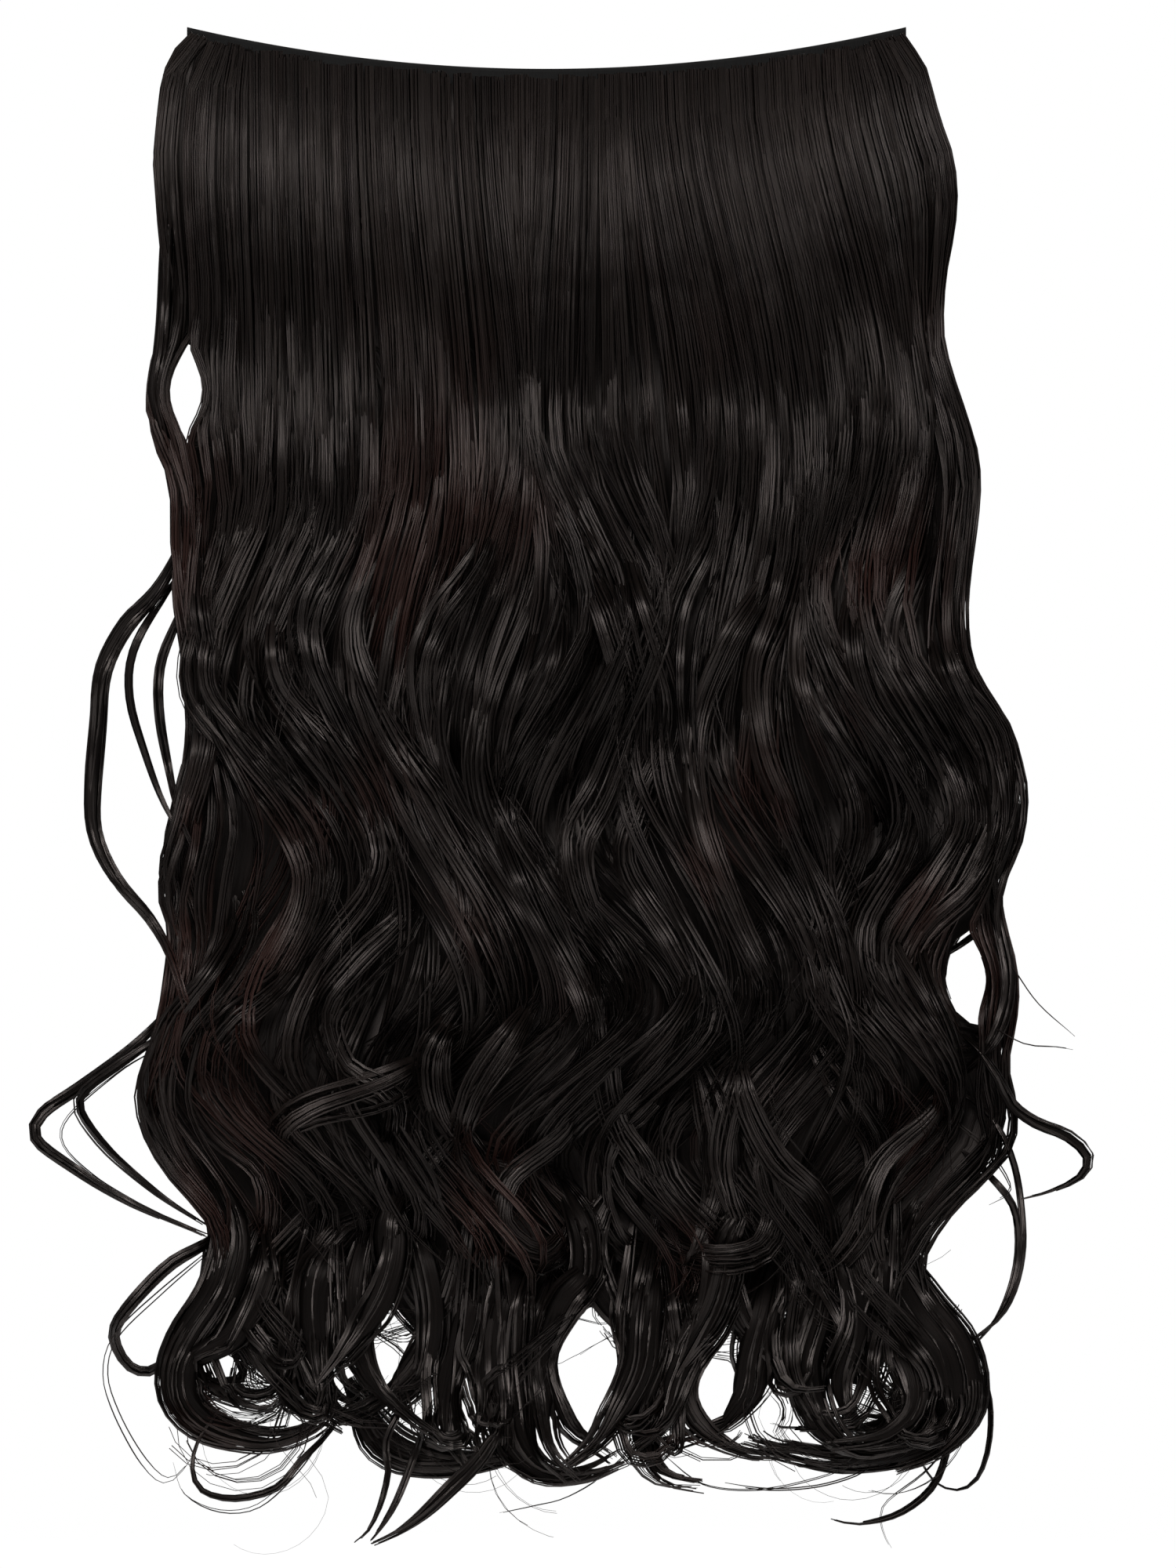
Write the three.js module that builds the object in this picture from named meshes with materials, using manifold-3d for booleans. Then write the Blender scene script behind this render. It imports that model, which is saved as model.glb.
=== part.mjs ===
// A one-piece clip-in hair extension: a stitched weft band, two rows of wavy hair sewn to it, and five snap clips.
// Millimetres, +Z up. -Y is the side that shows, +X is to its right. The origin is the middle of the band's back
// face, where the band is pinned on and the hair hangs from.

import * as THREE from "three";
import { mergeVertices } from "three/addons/utils/BufferGeometryUtils.js";
import Module from "manifold-3d";

const wasm = await Module();
wasm.setup();

const LEFT = -1;
const RIGHT = 1;
const FRONT = -1;
const BACK = 1;

// The band hangs by its two ends, so it rises and sweeps back towards them.
const BAND = { width: 262, height: 16, thickness: 2.4, endRise: 16, endSweep: 8, steps: 24 };
const HAIR_HANGS_LEVEL_BELOW = 150;
const SEAT_GAP = 0.3;

const CLIP = { count: 5, pitch: 49, length: 32, height: 9.6, thickness: 1.4, middleZ: 2.8, seat: 0.45 };
const CLIP_SLOT = { length: 24, height: 3.4, teeth: 6, toothLength: 2, toothWidth: 1.3 };

// Each row of hair is a sewn strip along the band with locks fused to it. Depths are counted from the plane between
// the two rows, so the rows never meet.
const ROWS_PART_AT_Y = -1.2;
const FRONT_ROW = {
  facing: FRONT,
  bandFaceY: -BAND.thickness,
  strip: { top: -3, bottom: -7.6, depth: 2.2 },
  endRoom: 16,
};
const BACK_ROW = {
  facing: BACK,
  bandFaceY: 0,
  strip: { top: -3.4, bottom: -7.8, depth: 2.2 },
  endRoom: 0,
};

// Where the locks of each part of the width change side on their way down, as drops below the origin.
const WAVES = {
  left: { first: RIGHT, turns: [138, 212, 272, 350, 402, 444, 474] },
  leftMiddle: { first: RIGHT, turns: [132, 236, 330, 380, 426, 472] },
  middle: { first: LEFT, turns: [120, 186, 262, 330, 382, 428, 474] },
  rightMiddle: { first: RIGHT, turns: [132, 238, 330, 384, 430, 472] },
  right: { first: RIGHT, turns: [121, 189, 266, 316, 366, 424, 468] },
};

// The front locks from left to right: how many of its wave's turns a lock makes, where its lower end hangs across the
// width, and the radius and angle of the curl that it ends in.
const FRONT_LOCKS = [
  { wave: "left", turns: 6, tip: -106, curl: 34, sweep: 130 },
  { wave: "left", turns: 7, tip: -92, curl: 24, sweep: 150 },
  { wave: "left", turns: 6, tip: -78, curl: 34, sweep: 120 },
  { wave: "leftMiddle", turns: 5, tip: -44, curl: 34, sweep: 120 },
  { wave: "leftMiddle", turns: 6, tip: -40, curl: 28, sweep: 120 },
  { wave: "leftMiddle", turns: 6, tip: -24, curl: 26, sweep: 130 },
  { wave: "middle", turns: 7, tip: -6, curl: 30, sweep: 130 },
  { wave: "middle", turns: 6, tip: 36, curl: 32, sweep: 140 },
  { wave: "rightMiddle", turns: 6, tip: 40, curl: 28, sweep: 130 },
  { wave: "rightMiddle", turns: 5, tip: 82, curl: 34, sweep: 140 },
  { wave: "rightMiddle", turns: 6, tip: 86, curl: 28, sweep: 120 },
  { wave: "right", turns: 6, tip: 104, curl: 34, sweep: 140 },
  { wave: "right", turns: 7, tip: 124, curl: 28, sweep: 150 },
];

// The back locks are wider, hang straighter and end higher in smaller curls.
const BACK_LOCKS = [
  { wave: "left", turns: 6, tip: -100, curl: 16, sweep: 140 },
  { wave: "leftMiddle", turns: 5, tip: -76, curl: 18, sweep: 140 },
  { wave: "middle", turns: 6, tip: -52, curl: 18, sweep: 140 },
  { wave: "rightMiddle", turns: 5, tip: -26, curl: 18, sweep: 140 },
  { wave: "leftMiddle", turns: 5, tip: 2, curl: 18, sweep: 140 },
  { wave: "right", turns: 6, tip: 34, curl: 18, sweep: 140 },
  { wave: "middle", turns: 6, tip: 64, curl: 18, sweep: 140 },
  { wave: "leftMiddle", turns: 5, tip: 90, curl: 18, sweep: 140 },
  { wave: "left", turns: 6, tip: 114, curl: 16, sweep: 140 },
];

// The locks that make the outline, bend by bend: each bend is a drop and the place across the width there. First the
// two edges, then thin locks that have come loose from the left edge, the right edge and the lower end.
const OUTLINE_LOCKS = [
  {
    root: -122,
    sides: 6,
    halfWidth: 9,
    curl: 28,
    sweep: 150,
    bends: [[32, -134], [70, -128], [107, -116], [152, -126], [204, -132], [240, -122], [278, -133], [309, -122],
      [366, -139], [416, -108], [462, -127]],
  },
  {
    root: 122,
    sides: 6,
    halfWidth: 9.5,
    curl: 30,
    sweep: 150,
    bends: [[36, 140], [81, 134], [139, 147], [184, 143], [250, 166], [289, 151], [323, 161], [349, 156], [380, 165],
      [420, 130], [458, 148]],
  },
  {
    root: -124,
    sides: 4,
    halfWidth: 3.2,
    curl: 8,
    sweep: 100,
    bends: [[70, -137], [107, -145], [152, -136], [250, -165], [328, -137], [374, -184], [413, -122], [456, -160],
      [500, -139]],
  },
  {
    root: 122,
    sides: 4,
    halfWidth: 2.6,
    curl: 8,
    sweep: 60,
    bends: [[139, 148], [349, 158], [388, 196], [402, 182]],
  },
  {
    root: -41,
    sides: 5,
    halfWidth: 4.4,
    curl: 8,
    sweep: 30,
    bends: [[236, -50], [330, -24], [418, -48], [496, -36], [527, -64]],
  },
];

// A lock's cross-section on its way down, in half sizes: flat at the band, full in the waves and thin at the tip.
const LOCK_SHAPE = {
  sides: 5,
  widthOfPitch: 0.58,
  rootThick: 1,
  fullThick: 5.4,
  fullBelow: 70,
  tipWidth: 1.6,
  tipThick: 1.2,
};
const ROLL = { top: 3.5, bottom: 8, fullBelow: 420 };
const SWING = { top: 0.16, bottom: 0.3, fullBelow: 380, longestHalfWave: 72 };
const ROOT_DROP = 4.6;
const TURN_SECTIONS = [0.2, 0.8];
const CURL_STEP_DEG = 42;

// The whole curtain spreads out just below the band, and is wider and leans to the right half way down.
const FAN = { share: 0.08, fullBelow: 40, bellyShare: 0.06, bellyLean: 8, bellyTop: 60, bellyBottom: 460 };

const { clamp, degToRad, lerp, smoothstep } = THREE.MathUtils;

// Bends a place on the straight, flat extension to the band's hanging curve.
function drape(x, y, z) {
  const across = clamp(x / (BAND.width / 2), -1.1, 1.1) ** 2;
  const hang = 1 - smoothstep(-z, 0, HAIR_HANGS_LEVEL_BELOW);
  return new THREE.Vector3(x, y + BAND.endSweep * across, z + BAND.endRise * across * hang);
}

// A closed skin through rings of points that all have the same count, with a flat cap on each end.
function loft(rings) {
  const count = rings[0].length;
  const faces = [];
  for (let r = 0; r + 1 < rings.length; r += 1) {
    for (let i = 0; i < count; i += 1) {
      const next = (i + 1) % count;
      const [a, b, c, d] = [r * count + i, r * count + next, (r + 1) * count + next, (r + 1) * count + i];
      faces.push(a, b, c, a, c, d);
    }
  }
  const last = (rings.length - 1) * count;
  for (let i = 1; i + 1 < count; i += 1) {
    faces.push(0, i + 1, i, last, last + i, last + i + 1);
  }
  return new THREE.BufferGeometry().setFromPoints(rings.flat()).setIndex(faces);
}

function toSolid(geometry) {
  const bare = geometry.clone();
  bare.deleteAttribute("normal");
  bare.deleteAttribute("uv");
  const merged = mergeVertices(bare);
  return new wasm.Manifold(
    new wasm.Mesh({
      numProp: 3,
      vertProperties: new Float32Array(merged.getAttribute("position").array),
      triVerts: new Uint32Array(merged.index.array),
    }),
  );
}

function toGeometry(solid) {
  const { vertProperties, triVerts } = solid.getMesh();
  const geometry = new THREE.BufferGeometry();
  geometry.setAttribute("position", new THREE.BufferAttribute(vertProperties, 3));
  geometry.setIndex(new THREE.BufferAttribute(triVerts, 1));
  geometry.computeVertexNormals();
  return geometry;
}

// A strip that follows the band, with its section given as [y, z] corners in order.
function alongBand(section) {
  const rings = [];
  for (let step = 0; step <= BAND.steps; step += 1) {
    const x = lerp(-BAND.width / 2, BAND.width / 2, step / BAND.steps);
    rings.push(section.map(([y, z]) => drape(x, y, z)));
  }
  return loft(rings);
}

// The weft band: a flat sewn strip with a rounded top hem.
function weftBand() {
  const { height, thickness } = BAND;
  const hem = thickness / 2;
  const section = [[-thickness, -height / 2], [0, -height / 2]];
  for (let degrees = 0; degrees <= 180; degrees += 60) {
    const turn = degToRad(degrees);
    section.push([-hem + hem * Math.cos(turn), height / 2 - hem + hem * Math.sin(turn)]);
  }
  return alongBand(section);
}

// Side swing at a turn: a share of the distance from the turn before, which grows on the way down.
function swingAt(drop, halfWave) {
  const share = lerp(SWING.top, SWING.bottom, clamp(drop / SWING.fullBelow, 0, 1));
  return share * Math.min(halfWave, SWING.longestHalfWave) * clamp(drop / SWING.fullBelow + 0.1, 0, 1);
}

// The turns of a waved lock, from its root on the band to the last one above its curl.
function waveBends(lock, root) {
  const { first, turns } = WAVES[lock.wave];
  const bends = [[ROOT_DROP, root]];
  let side = first;
  for (const drop of turns.slice(0, lock.turns)) {
    const belly = Math.sin(Math.PI * clamp((drop - FAN.bellyTop) / (FAN.bellyBottom - FAN.bellyTop), 0, 1));
    const fanned = root * (1 + FAN.share * smoothstep(drop, 0, FAN.fullBelow) + FAN.bellyShare * belly);
    const hangsAt = lerp(fanned, lock.tip, smoothstep(drop, FAN.fullBelow, turns.at(-1))) + FAN.bellyLean * belly;
    const halfWave = drop - bends.at(-1)[0];
    bends.push([drop, hangsAt + side * swingAt(drop, halfWave)]);
    side = -side;
  }
  return bends;
}

// Points down a lock: from turn to turn along half waves, rolling forward and back between them, then round the curl.
function lockLine(bends, curl, sweep) {
  const line = [];
  for (let i = 0; i + 1 < bends.length; i += 1) {
    const [[drop, side], [nextDrop, nextSide]] = [bends[i], bends[i + 1]];
    for (const t of i === 0 ? [0, ...TURN_SECTIONS] : TURN_SECTIONS) {
      const eased = (1 - Math.cos(Math.PI * t)) / 2;
      const roll = Math.sin(Math.PI * (i + t));
      line.push({ drop: lerp(drop, nextDrop, t), side: lerp(side, nextSide, eased), roll });
    }
  }
  const [drop, side] = bends.at(-1);
  const towards = Math.sign(bends.at(-2)[1] - side);
  const steps = Math.ceil(sweep / CURL_STEP_DEG);
  for (let step = 1; step <= steps; step += 1) {
    const turned = degToRad((sweep * step) / steps);
    const radius = curl * (1 - 0.25 * (step / steps));
    const across = curl - radius * Math.cos(turned);
    line.push({ drop: drop + radius * Math.sin(turned), side: side + towards * across, roll: 0 });
  }
  return line;
}

// A lock as a closed solid: sections with a few sides, set square to its line.
function lockSolid(row, line, sides, halfWidth, fullThick) {
  const lastFull = Math.round(line.length * 0.7);
  const places = line.map(({ drop, side, roll }, i) => {
    const towardsTip = smoothstep(i, lastFull, line.length - 1);
    const leaving = smoothstep(drop, 0, LOCK_SHAPE.fullBelow);
    const thick = lerp(lerp(LOCK_SHAPE.rootThick, fullThick, leaving), LOCK_SHAPE.tipThick, towardsTip);
    const wide = lerp(halfWidth, LOCK_SHAPE.tipWidth, towardsTip);
    const clearOfBand = row.bandFaceY - ROWS_PART_AT_Y + row.facing * (SEAT_GAP + 0.1);
    const rootDepth = lerp(clearOfBand * row.facing, 0.4, smoothstep(drop, BAND.height / 2, 3 * BAND.height));
    const rollDepth = leaving * lerp(ROLL.top, ROLL.bottom, clamp(drop / ROLL.fullBelow, 0, 1));
    const depth = rootDepth + thick + rollDepth * (1 + roll);
    return { centre: new THREE.Vector3(side, ROWS_PART_AT_Y + row.facing * depth, -drop), wide, thick };
  });
  const rings = places.map(({ centre, wide, thick }, i) => {
    const before = places[Math.max(i - 1, 0)].centre;
    const after = places[Math.min(i + 1, places.length - 1)].centre;
    const along = after.clone().sub(before).normalize();
    const back = new THREE.Vector3(0, 1, 0).projectOnPlane(along).normalize();
    const across = along.clone().cross(back);
    return Array.from({ length: sides }, (_, side) => {
      const angle = (2 * Math.PI * side) / sides;
      const corner = centre.clone().addScaledVector(across, -wide * Math.cos(angle));
      corner.addScaledVector(back, thick * Math.sin(angle));
      return drape(corner.x, corner.y, corner.z);
    });
  });
  return toSolid(loft(rings));
}

// Joins solids to one body and fills the small hollows shut in between them, by keeping its outer skin alone.
function fuse(solids) {
  const skins = solids.reduce((fused, solid) => fused.add(solid)).decompose();
  return skins.reduce((largest, skin) => (skin.volume() > largest.volume() ? skin : largest));
}

function stripSolid(row) {
  const { top, bottom, depth } = row.strip;
  const inner = row.bandFaceY + row.facing * SEAT_GAP;
  const outer = inner + row.facing * depth;
  const [back, front] = [Math.max(inner, outer), Math.min(inner, outer)];
  return toSolid(alongBand([[front, bottom], [back, bottom], [back, top], [front, top]]));
}

// A row of hair: its waved locks at an even pitch and its outline locks, fused to its sewn strip.
function hairRow(row, locks, outlineLocks) {
  const pitch = (BAND.width - 2 * row.endRoom) / locks.length;
  const solids = [stripSolid(row)];
  locks.forEach((lock, i) => {
    const root = (i + 0.5) * pitch - BAND.width / 2 + row.endRoom;
    const line = lockLine(waveBends(lock, root), lock.curl, lock.sweep);
    solids.push(lockSolid(row, line, LOCK_SHAPE.sides, pitch * LOCK_SHAPE.widthOfPitch, LOCK_SHAPE.fullThick));
  });
  for (const { root, sides, halfWidth, curl, sweep, bends } of outlineLocks) {
    const line = lockLine([[ROOT_DROP, root], ...bends], curl, sweep);
    solids.push(lockSolid(row, line, sides, halfWidth, Math.min(halfWidth, LOCK_SHAPE.fullThick)));
  }
  return toGeometry(fuse(solids));
}

// A snap clip: one pressed plate with round ends, and a slot with a comb of teeth along its upper edge.
function snapClip() {
  const { length, height, thickness } = CLIP;
  const end = height / 2;
  const plate = new THREE.Shape();
  plate.absarc(length / 2 - end, 0, end, -Math.PI / 2, Math.PI / 2, false);
  plate.absarc(-length / 2 + end, 0, end, Math.PI / 2, (3 * Math.PI) / 2, false);
  const slot = new THREE.Path();
  const [left, low, high] = [-CLIP_SLOT.length / 2, -CLIP_SLOT.height / 2, CLIP_SLOT.height / 2];
  const toothPitch = CLIP_SLOT.length / CLIP_SLOT.teeth;
  slot.moveTo(left, low).lineTo(left, high);
  for (let tooth = 0; tooth < CLIP_SLOT.teeth; tooth += 1) {
    const middle = left + (tooth + 0.5) * toothPitch;
    slot.lineTo(middle - CLIP_SLOT.toothWidth / 2, high);
    slot.lineTo(middle, high - CLIP_SLOT.toothLength);
    slot.lineTo(middle + CLIP_SLOT.toothWidth / 2, high);
  }
  slot.lineTo(-left, high).lineTo(-left, low);
  plate.holes.push(slot);
  return new THREE.ExtrudeGeometry(plate, { depth: thickness, bevelEnabled: false, curveSegments: 4 });
}

// Stands a clip on the band's back face at a place across it, turned to the band's slope there.
function placeClip(mesh, x) {
  const across = x / (BAND.width / 2);
  const slope = (2 * across) / (BAND.width / 2);
  const upright = new THREE.Group();
  mesh.rotation.x = Math.PI / 2;
  mesh.position.y = CLIP.thickness;
  upright.add(mesh);
  upright.position.copy(drape(x, CLIP.seat, CLIP.middleZ));
  upright.rotation.set(0, -Math.atan(BAND.endRise * slope), Math.atan(BAND.endSweep * slope), "ZYX");
  return upright;
}

const hairLook = new THREE.MeshStandardMaterial({ color: 0x1b1716, roughness: 0.42, metalness: 0 });
const bandLook = new THREE.MeshStandardMaterial({ color: 0x121010, roughness: 0.85, metalness: 0 });
const clipLook = new THREE.MeshStandardMaterial({ color: 0x0e0d0d, roughness: 0.35, metalness: 0.6 });

function named(name, geometry, look) {
  const mesh = new THREE.Mesh(geometry, look);
  mesh.name = name;
  return mesh;
}

const extension = new THREE.Group();
extension.add(named("weft_band", weftBand(), bandLook));
extension.add(named("hair_front_row", hairRow(FRONT_ROW, FRONT_LOCKS, OUTLINE_LOCKS), hairLook));
extension.add(named("hair_back_row", hairRow(BACK_ROW, BACK_LOCKS, []), hairLook));
for (let i = 0; i < CLIP.count; i += 1) {
  const x = (i - (CLIP.count - 1) / 2) * CLIP.pitch;
  extension.add(placeClip(named(`snap_clip_${i + 1}`, snapClip(), clipLook), x));
}

export default extension;
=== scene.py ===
import math

import bpy
import numpy as np
from bpy.props import FloatProperty, FloatVectorProperty, IntProperty, PointerProperty
from bpy.types import Operator, Panel, PropertyGroup
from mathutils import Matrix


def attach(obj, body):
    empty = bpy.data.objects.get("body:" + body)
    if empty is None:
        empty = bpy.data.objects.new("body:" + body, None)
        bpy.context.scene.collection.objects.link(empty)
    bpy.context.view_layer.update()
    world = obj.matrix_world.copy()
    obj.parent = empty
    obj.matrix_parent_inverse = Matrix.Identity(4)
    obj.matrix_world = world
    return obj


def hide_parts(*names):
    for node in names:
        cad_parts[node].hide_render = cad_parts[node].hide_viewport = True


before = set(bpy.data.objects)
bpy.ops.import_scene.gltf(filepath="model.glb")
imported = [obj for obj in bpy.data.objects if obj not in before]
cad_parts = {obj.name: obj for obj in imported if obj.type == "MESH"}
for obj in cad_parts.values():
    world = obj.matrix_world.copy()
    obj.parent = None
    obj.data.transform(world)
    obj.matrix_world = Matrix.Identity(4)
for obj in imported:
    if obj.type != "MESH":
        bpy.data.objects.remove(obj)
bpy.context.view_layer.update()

bl_info = {
    "name": "Clip-in hair extension",
    "version": (1, 0, 0),
    "blender": (4, 5, 0),
    "location": "View3D > Sidebar > Hair extension",
    "description": "Builds a wavy clip-in hair extension: band, two rows of hair, snap clips and a studio",
    "category": "Add Mesh",
}

# Lengths in the tables and in the lines of hair are millimetres; meshes are in metres.
MM = 0.001
LEFT, RIGHT = -1, 1
FRONT, BACK = -1, 1

# Where the locks of each part of the width change side on their way down, as drops below the origin.
WAVES = {
    "left": (RIGHT, (138, 212, 272, 350, 402, 444, 474)),
    "left_middle": (RIGHT, (132, 236, 330, 380, 426, 472)),
    "middle": (LEFT, (120, 186, 262, 330, 382, 428, 474)),
    "right_middle": (RIGHT, (132, 238, 330, 384, 430, 472)),
    "right": (RIGHT, (121, 189, 266, 316, 366, 424, 468)),
}

# wave, turns made, place across the width of the lower end, radius of the end curl, angle of the end curl
FRONT_LOCKS = (
    ("left", 6, -106, 34, 130),
    ("left", 7, -92, 24, 150),
    ("left", 6, -78, 34, 120),
    ("left_middle", 5, -44, 34, 120),
    ("left_middle", 6, -40, 28, 120),
    ("left_middle", 6, -24, 26, 130),
    ("middle", 7, -6, 30, 130),
    ("middle", 6, 36, 32, 140),
    ("right_middle", 6, 40, 28, 130),
    ("right_middle", 5, 82, 34, 140),
    ("right_middle", 6, 86, 28, 120),
    ("right", 6, 104, 34, 140),
    ("right", 7, 124, 28, 150),
)
BACK_LOCKS = (
    ("left", 6, -100, 16, 140),
    ("left_middle", 5, -76, 18, 140),
    ("middle", 6, -52, 18, 140),
    ("right_middle", 5, -26, 18, 140),
    ("left_middle", 5, 2, 18, 140),
    ("right", 6, 34, 18, 140),
    ("middle", 6, 64, 18, 140),
    ("left_middle", 5, 90, 18, 140),
    ("left", 6, 114, 16, 140),
)

# The two edges of the front row: root, radius and angle of the end curl, and the (drop, place across)
# that the edge runs through
EDGE_LOCKS = (
    (-129, 26, 150, ((2, -135.5), (8, -138.5), (15, -140.5), (28, -142), (40, -143), (52, -142), (63, -141),
        (74, -139.5), (83, -139), (92, -140.5), (101, -143), (113, -145), (125, -144), (134, -140),
        (142, -137), (155, -137), (170, -136.5), (188, -134), (206, -131), (226, -130), (240, -130.5),
        (252, -133), (266, -136), (280, -140.5), (292, -140), (305, -136), (318, -137), (332, -139),
        (345, -143), (358, -147.5), (370, -148), (382, -144.5), (392, -137.5), (401, -129), (410, -122),
        (420, -119.5), (430, -120), (440, -125), (450, -132))),
    (129, 28, 150, ((3, 134.5), (10, 138), (18, 140), (29, 143), (40, 147), (52, 148.5), (63, 147.5),
        (74, 145), (86, 143.5), (97, 143.5), (108, 146.5), (120, 151), (132, 155), (143, 156), (156, 155),
        (172, 153), (186, 151.5), (200, 152), (212, 155.5), (222, 162), (232, 168), (245, 171.5),
        (256, 173), (270, 171.5), (280, 168), (292, 164), (304, 166), (317, 169), (330, 170), (340, 169),
        (349, 167), (358, 167), (368, 169.5), (379, 169.5), (388, 165), (396, 157), (405, 147.5),
        (413, 141), (420, 137), (428, 136), (436, 140), (444, 147), (452, 152))),
)

# Locks that lie on the front row: half width, wisps, and the (place across, drop) that the lock runs through
SURFACE_LOCKS = (
    (7, 4, ((-65, 127), (-72, 161), (-85, 186), (-85, 209), (-70, 243), (-60, 275))),
    (7, 4, ((-16, 138), (-25, 169), (-40, 192), (-46, 212), (-41, 241), (-26, 275), (-29, 303))),
    (6, 4, ((-2, 149), (5, 178), (3, 209), (-11, 238), (-16, 263), (-2, 298), (14, 329), (16, 349),
        (1, 366), (-28, 377))),
    (7, 4, ((-105, 144), (-113, 172), (-124, 195), (-126, 218), (-113, 238), (-90, 269), (-85, 292),
        (-100, 322), (-122, 346))),
    (6, 4, ((-90, 164), (-99, 192), (-96, 218), (-76, 241), (-60, 269), (-62, 289), (-79, 312),
        (-98, 340))),
    (6, 4, ((-50, 149), (-65, 178), (-69, 203), (-56, 235), (-36, 266), (-27, 298), (-33, 322), (-50, 340),
        (-73, 355))),
    (7, 4, ((18, 135), (12, 164), (22, 195), (29, 223), (21, 252), (11, 275), (18, 303), (38, 335))),
    (6, 4, ((38, 138), (29, 166), (38, 201), (44, 229), (34, 258), (29, 280), (44, 306), (59, 335),
        (71, 366))),
    (6, 4, ((59, 132), (63, 161), (52, 189), (49, 218), (52, 249), (64, 289), (74, 323))),
    (6, 4, ((84, 129), (90, 158), (85, 186), (76, 212), (79, 241), (89, 269), (84, 300), (68, 320))),
    (6, 4, ((75, 144), (82, 172), (66, 201), (54, 232), (55, 266), (68, 300), (82, 329), (84, 357))),
    (6, 4, ((103, 138), (98, 169), (92, 195), (93, 218), (106, 243), (112, 269), (101, 303), (99, 326),
        (112, 363))),
    (6, 4, ((121, 138), (117, 172), (110, 195), (115, 221), (132, 249), (129, 275), (114, 303), (119, 329),
        (141, 349), (165, 349))),
    (6, 4, ((135, 127), (138, 161), (126, 192), (129, 218), (146, 241), (153, 266), (141, 289), (127, 315),
        (132, 337), (152, 366))),
    (5, 3, ((143, 195), (148, 212), (163, 235), (166, 263), (155, 289), (138, 306), (132, 326),
        (143, 343))),
    (6, 4, ((-116, 275), (-110, 300), (-119, 320), (-135, 340), (-140, 360), (-135, 380), (-117, 409))),
    (6, 4, ((-86, 298), (-93, 320), (-116, 340), (-128, 360), (-120, 377), (-103, 392), (-100, 412),
        (-107, 434))),
    (6, 4, ((-50, 275), (-48, 298), (-65, 317), (-79, 335), (-73, 355), (-56, 366), (-59, 389),
        (-76, 406))),
    (7, 4, ((-33, 346), (-59, 360), (-85, 369), (-96, 380), (-86, 397), (-68, 406))),
    (6, 4, ((-2, 326), (-16, 346), (-28, 366), (-30, 383), (-13, 389), (9, 389))),
    (6, 4, ((-22, 366), (-39, 386), (-56, 406), (-73, 412), (-87, 429), (-100, 446))),
    (6, 4, ((18, 355), (7, 377), (-13, 394), (-16, 412), (-2, 423), (9, 412), (1, 400))),
    (6, 4, ((46, 346), (35, 366), (21, 380), (19, 400), (29, 420), (49, 426))),
    (6, 4, ((58, 360), (75, 377), (84, 400), (78, 420), (55, 423), (35, 412))),
    (6, 4, ((92, 335), (101, 352), (112, 369), (121, 386), (116, 409), (103, 426), (84, 434))),
    (6, 4, ((69, 337), (71, 363), (82, 386), (98, 403), (101, 423), (86, 443))),
    (6, 4, ((152, 355), (141, 372), (123, 389), (115, 412), (121, 434), (136, 451))),
    (6, 4, ((-126, 150), (-127, 185), (-123, 215), (-124, 243), (-130, 266), (-132, 286), (-127, 308),
        (-134, 345))),
    (6, 4, ((146, 150), (142, 185), (146, 209), (160, 238), (163, 260), (153, 284), (140, 309), (139, 325),
        (150, 350))),
    (6, 4, ((52, 345), (60, 368), (64, 392), (58, 416), (45, 440))),
    (6, 4, ((76, 340), (67, 364), (62, 390), (70, 414), (84, 436))),
    (6, 4, ((-30, 330), (-41, 350), (-38, 372), (-24, 392), (-20, 416))),
    (6, 4, ((30, 330), (22, 350), (26, 374), (38, 394), (36, 418))),
)

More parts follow.
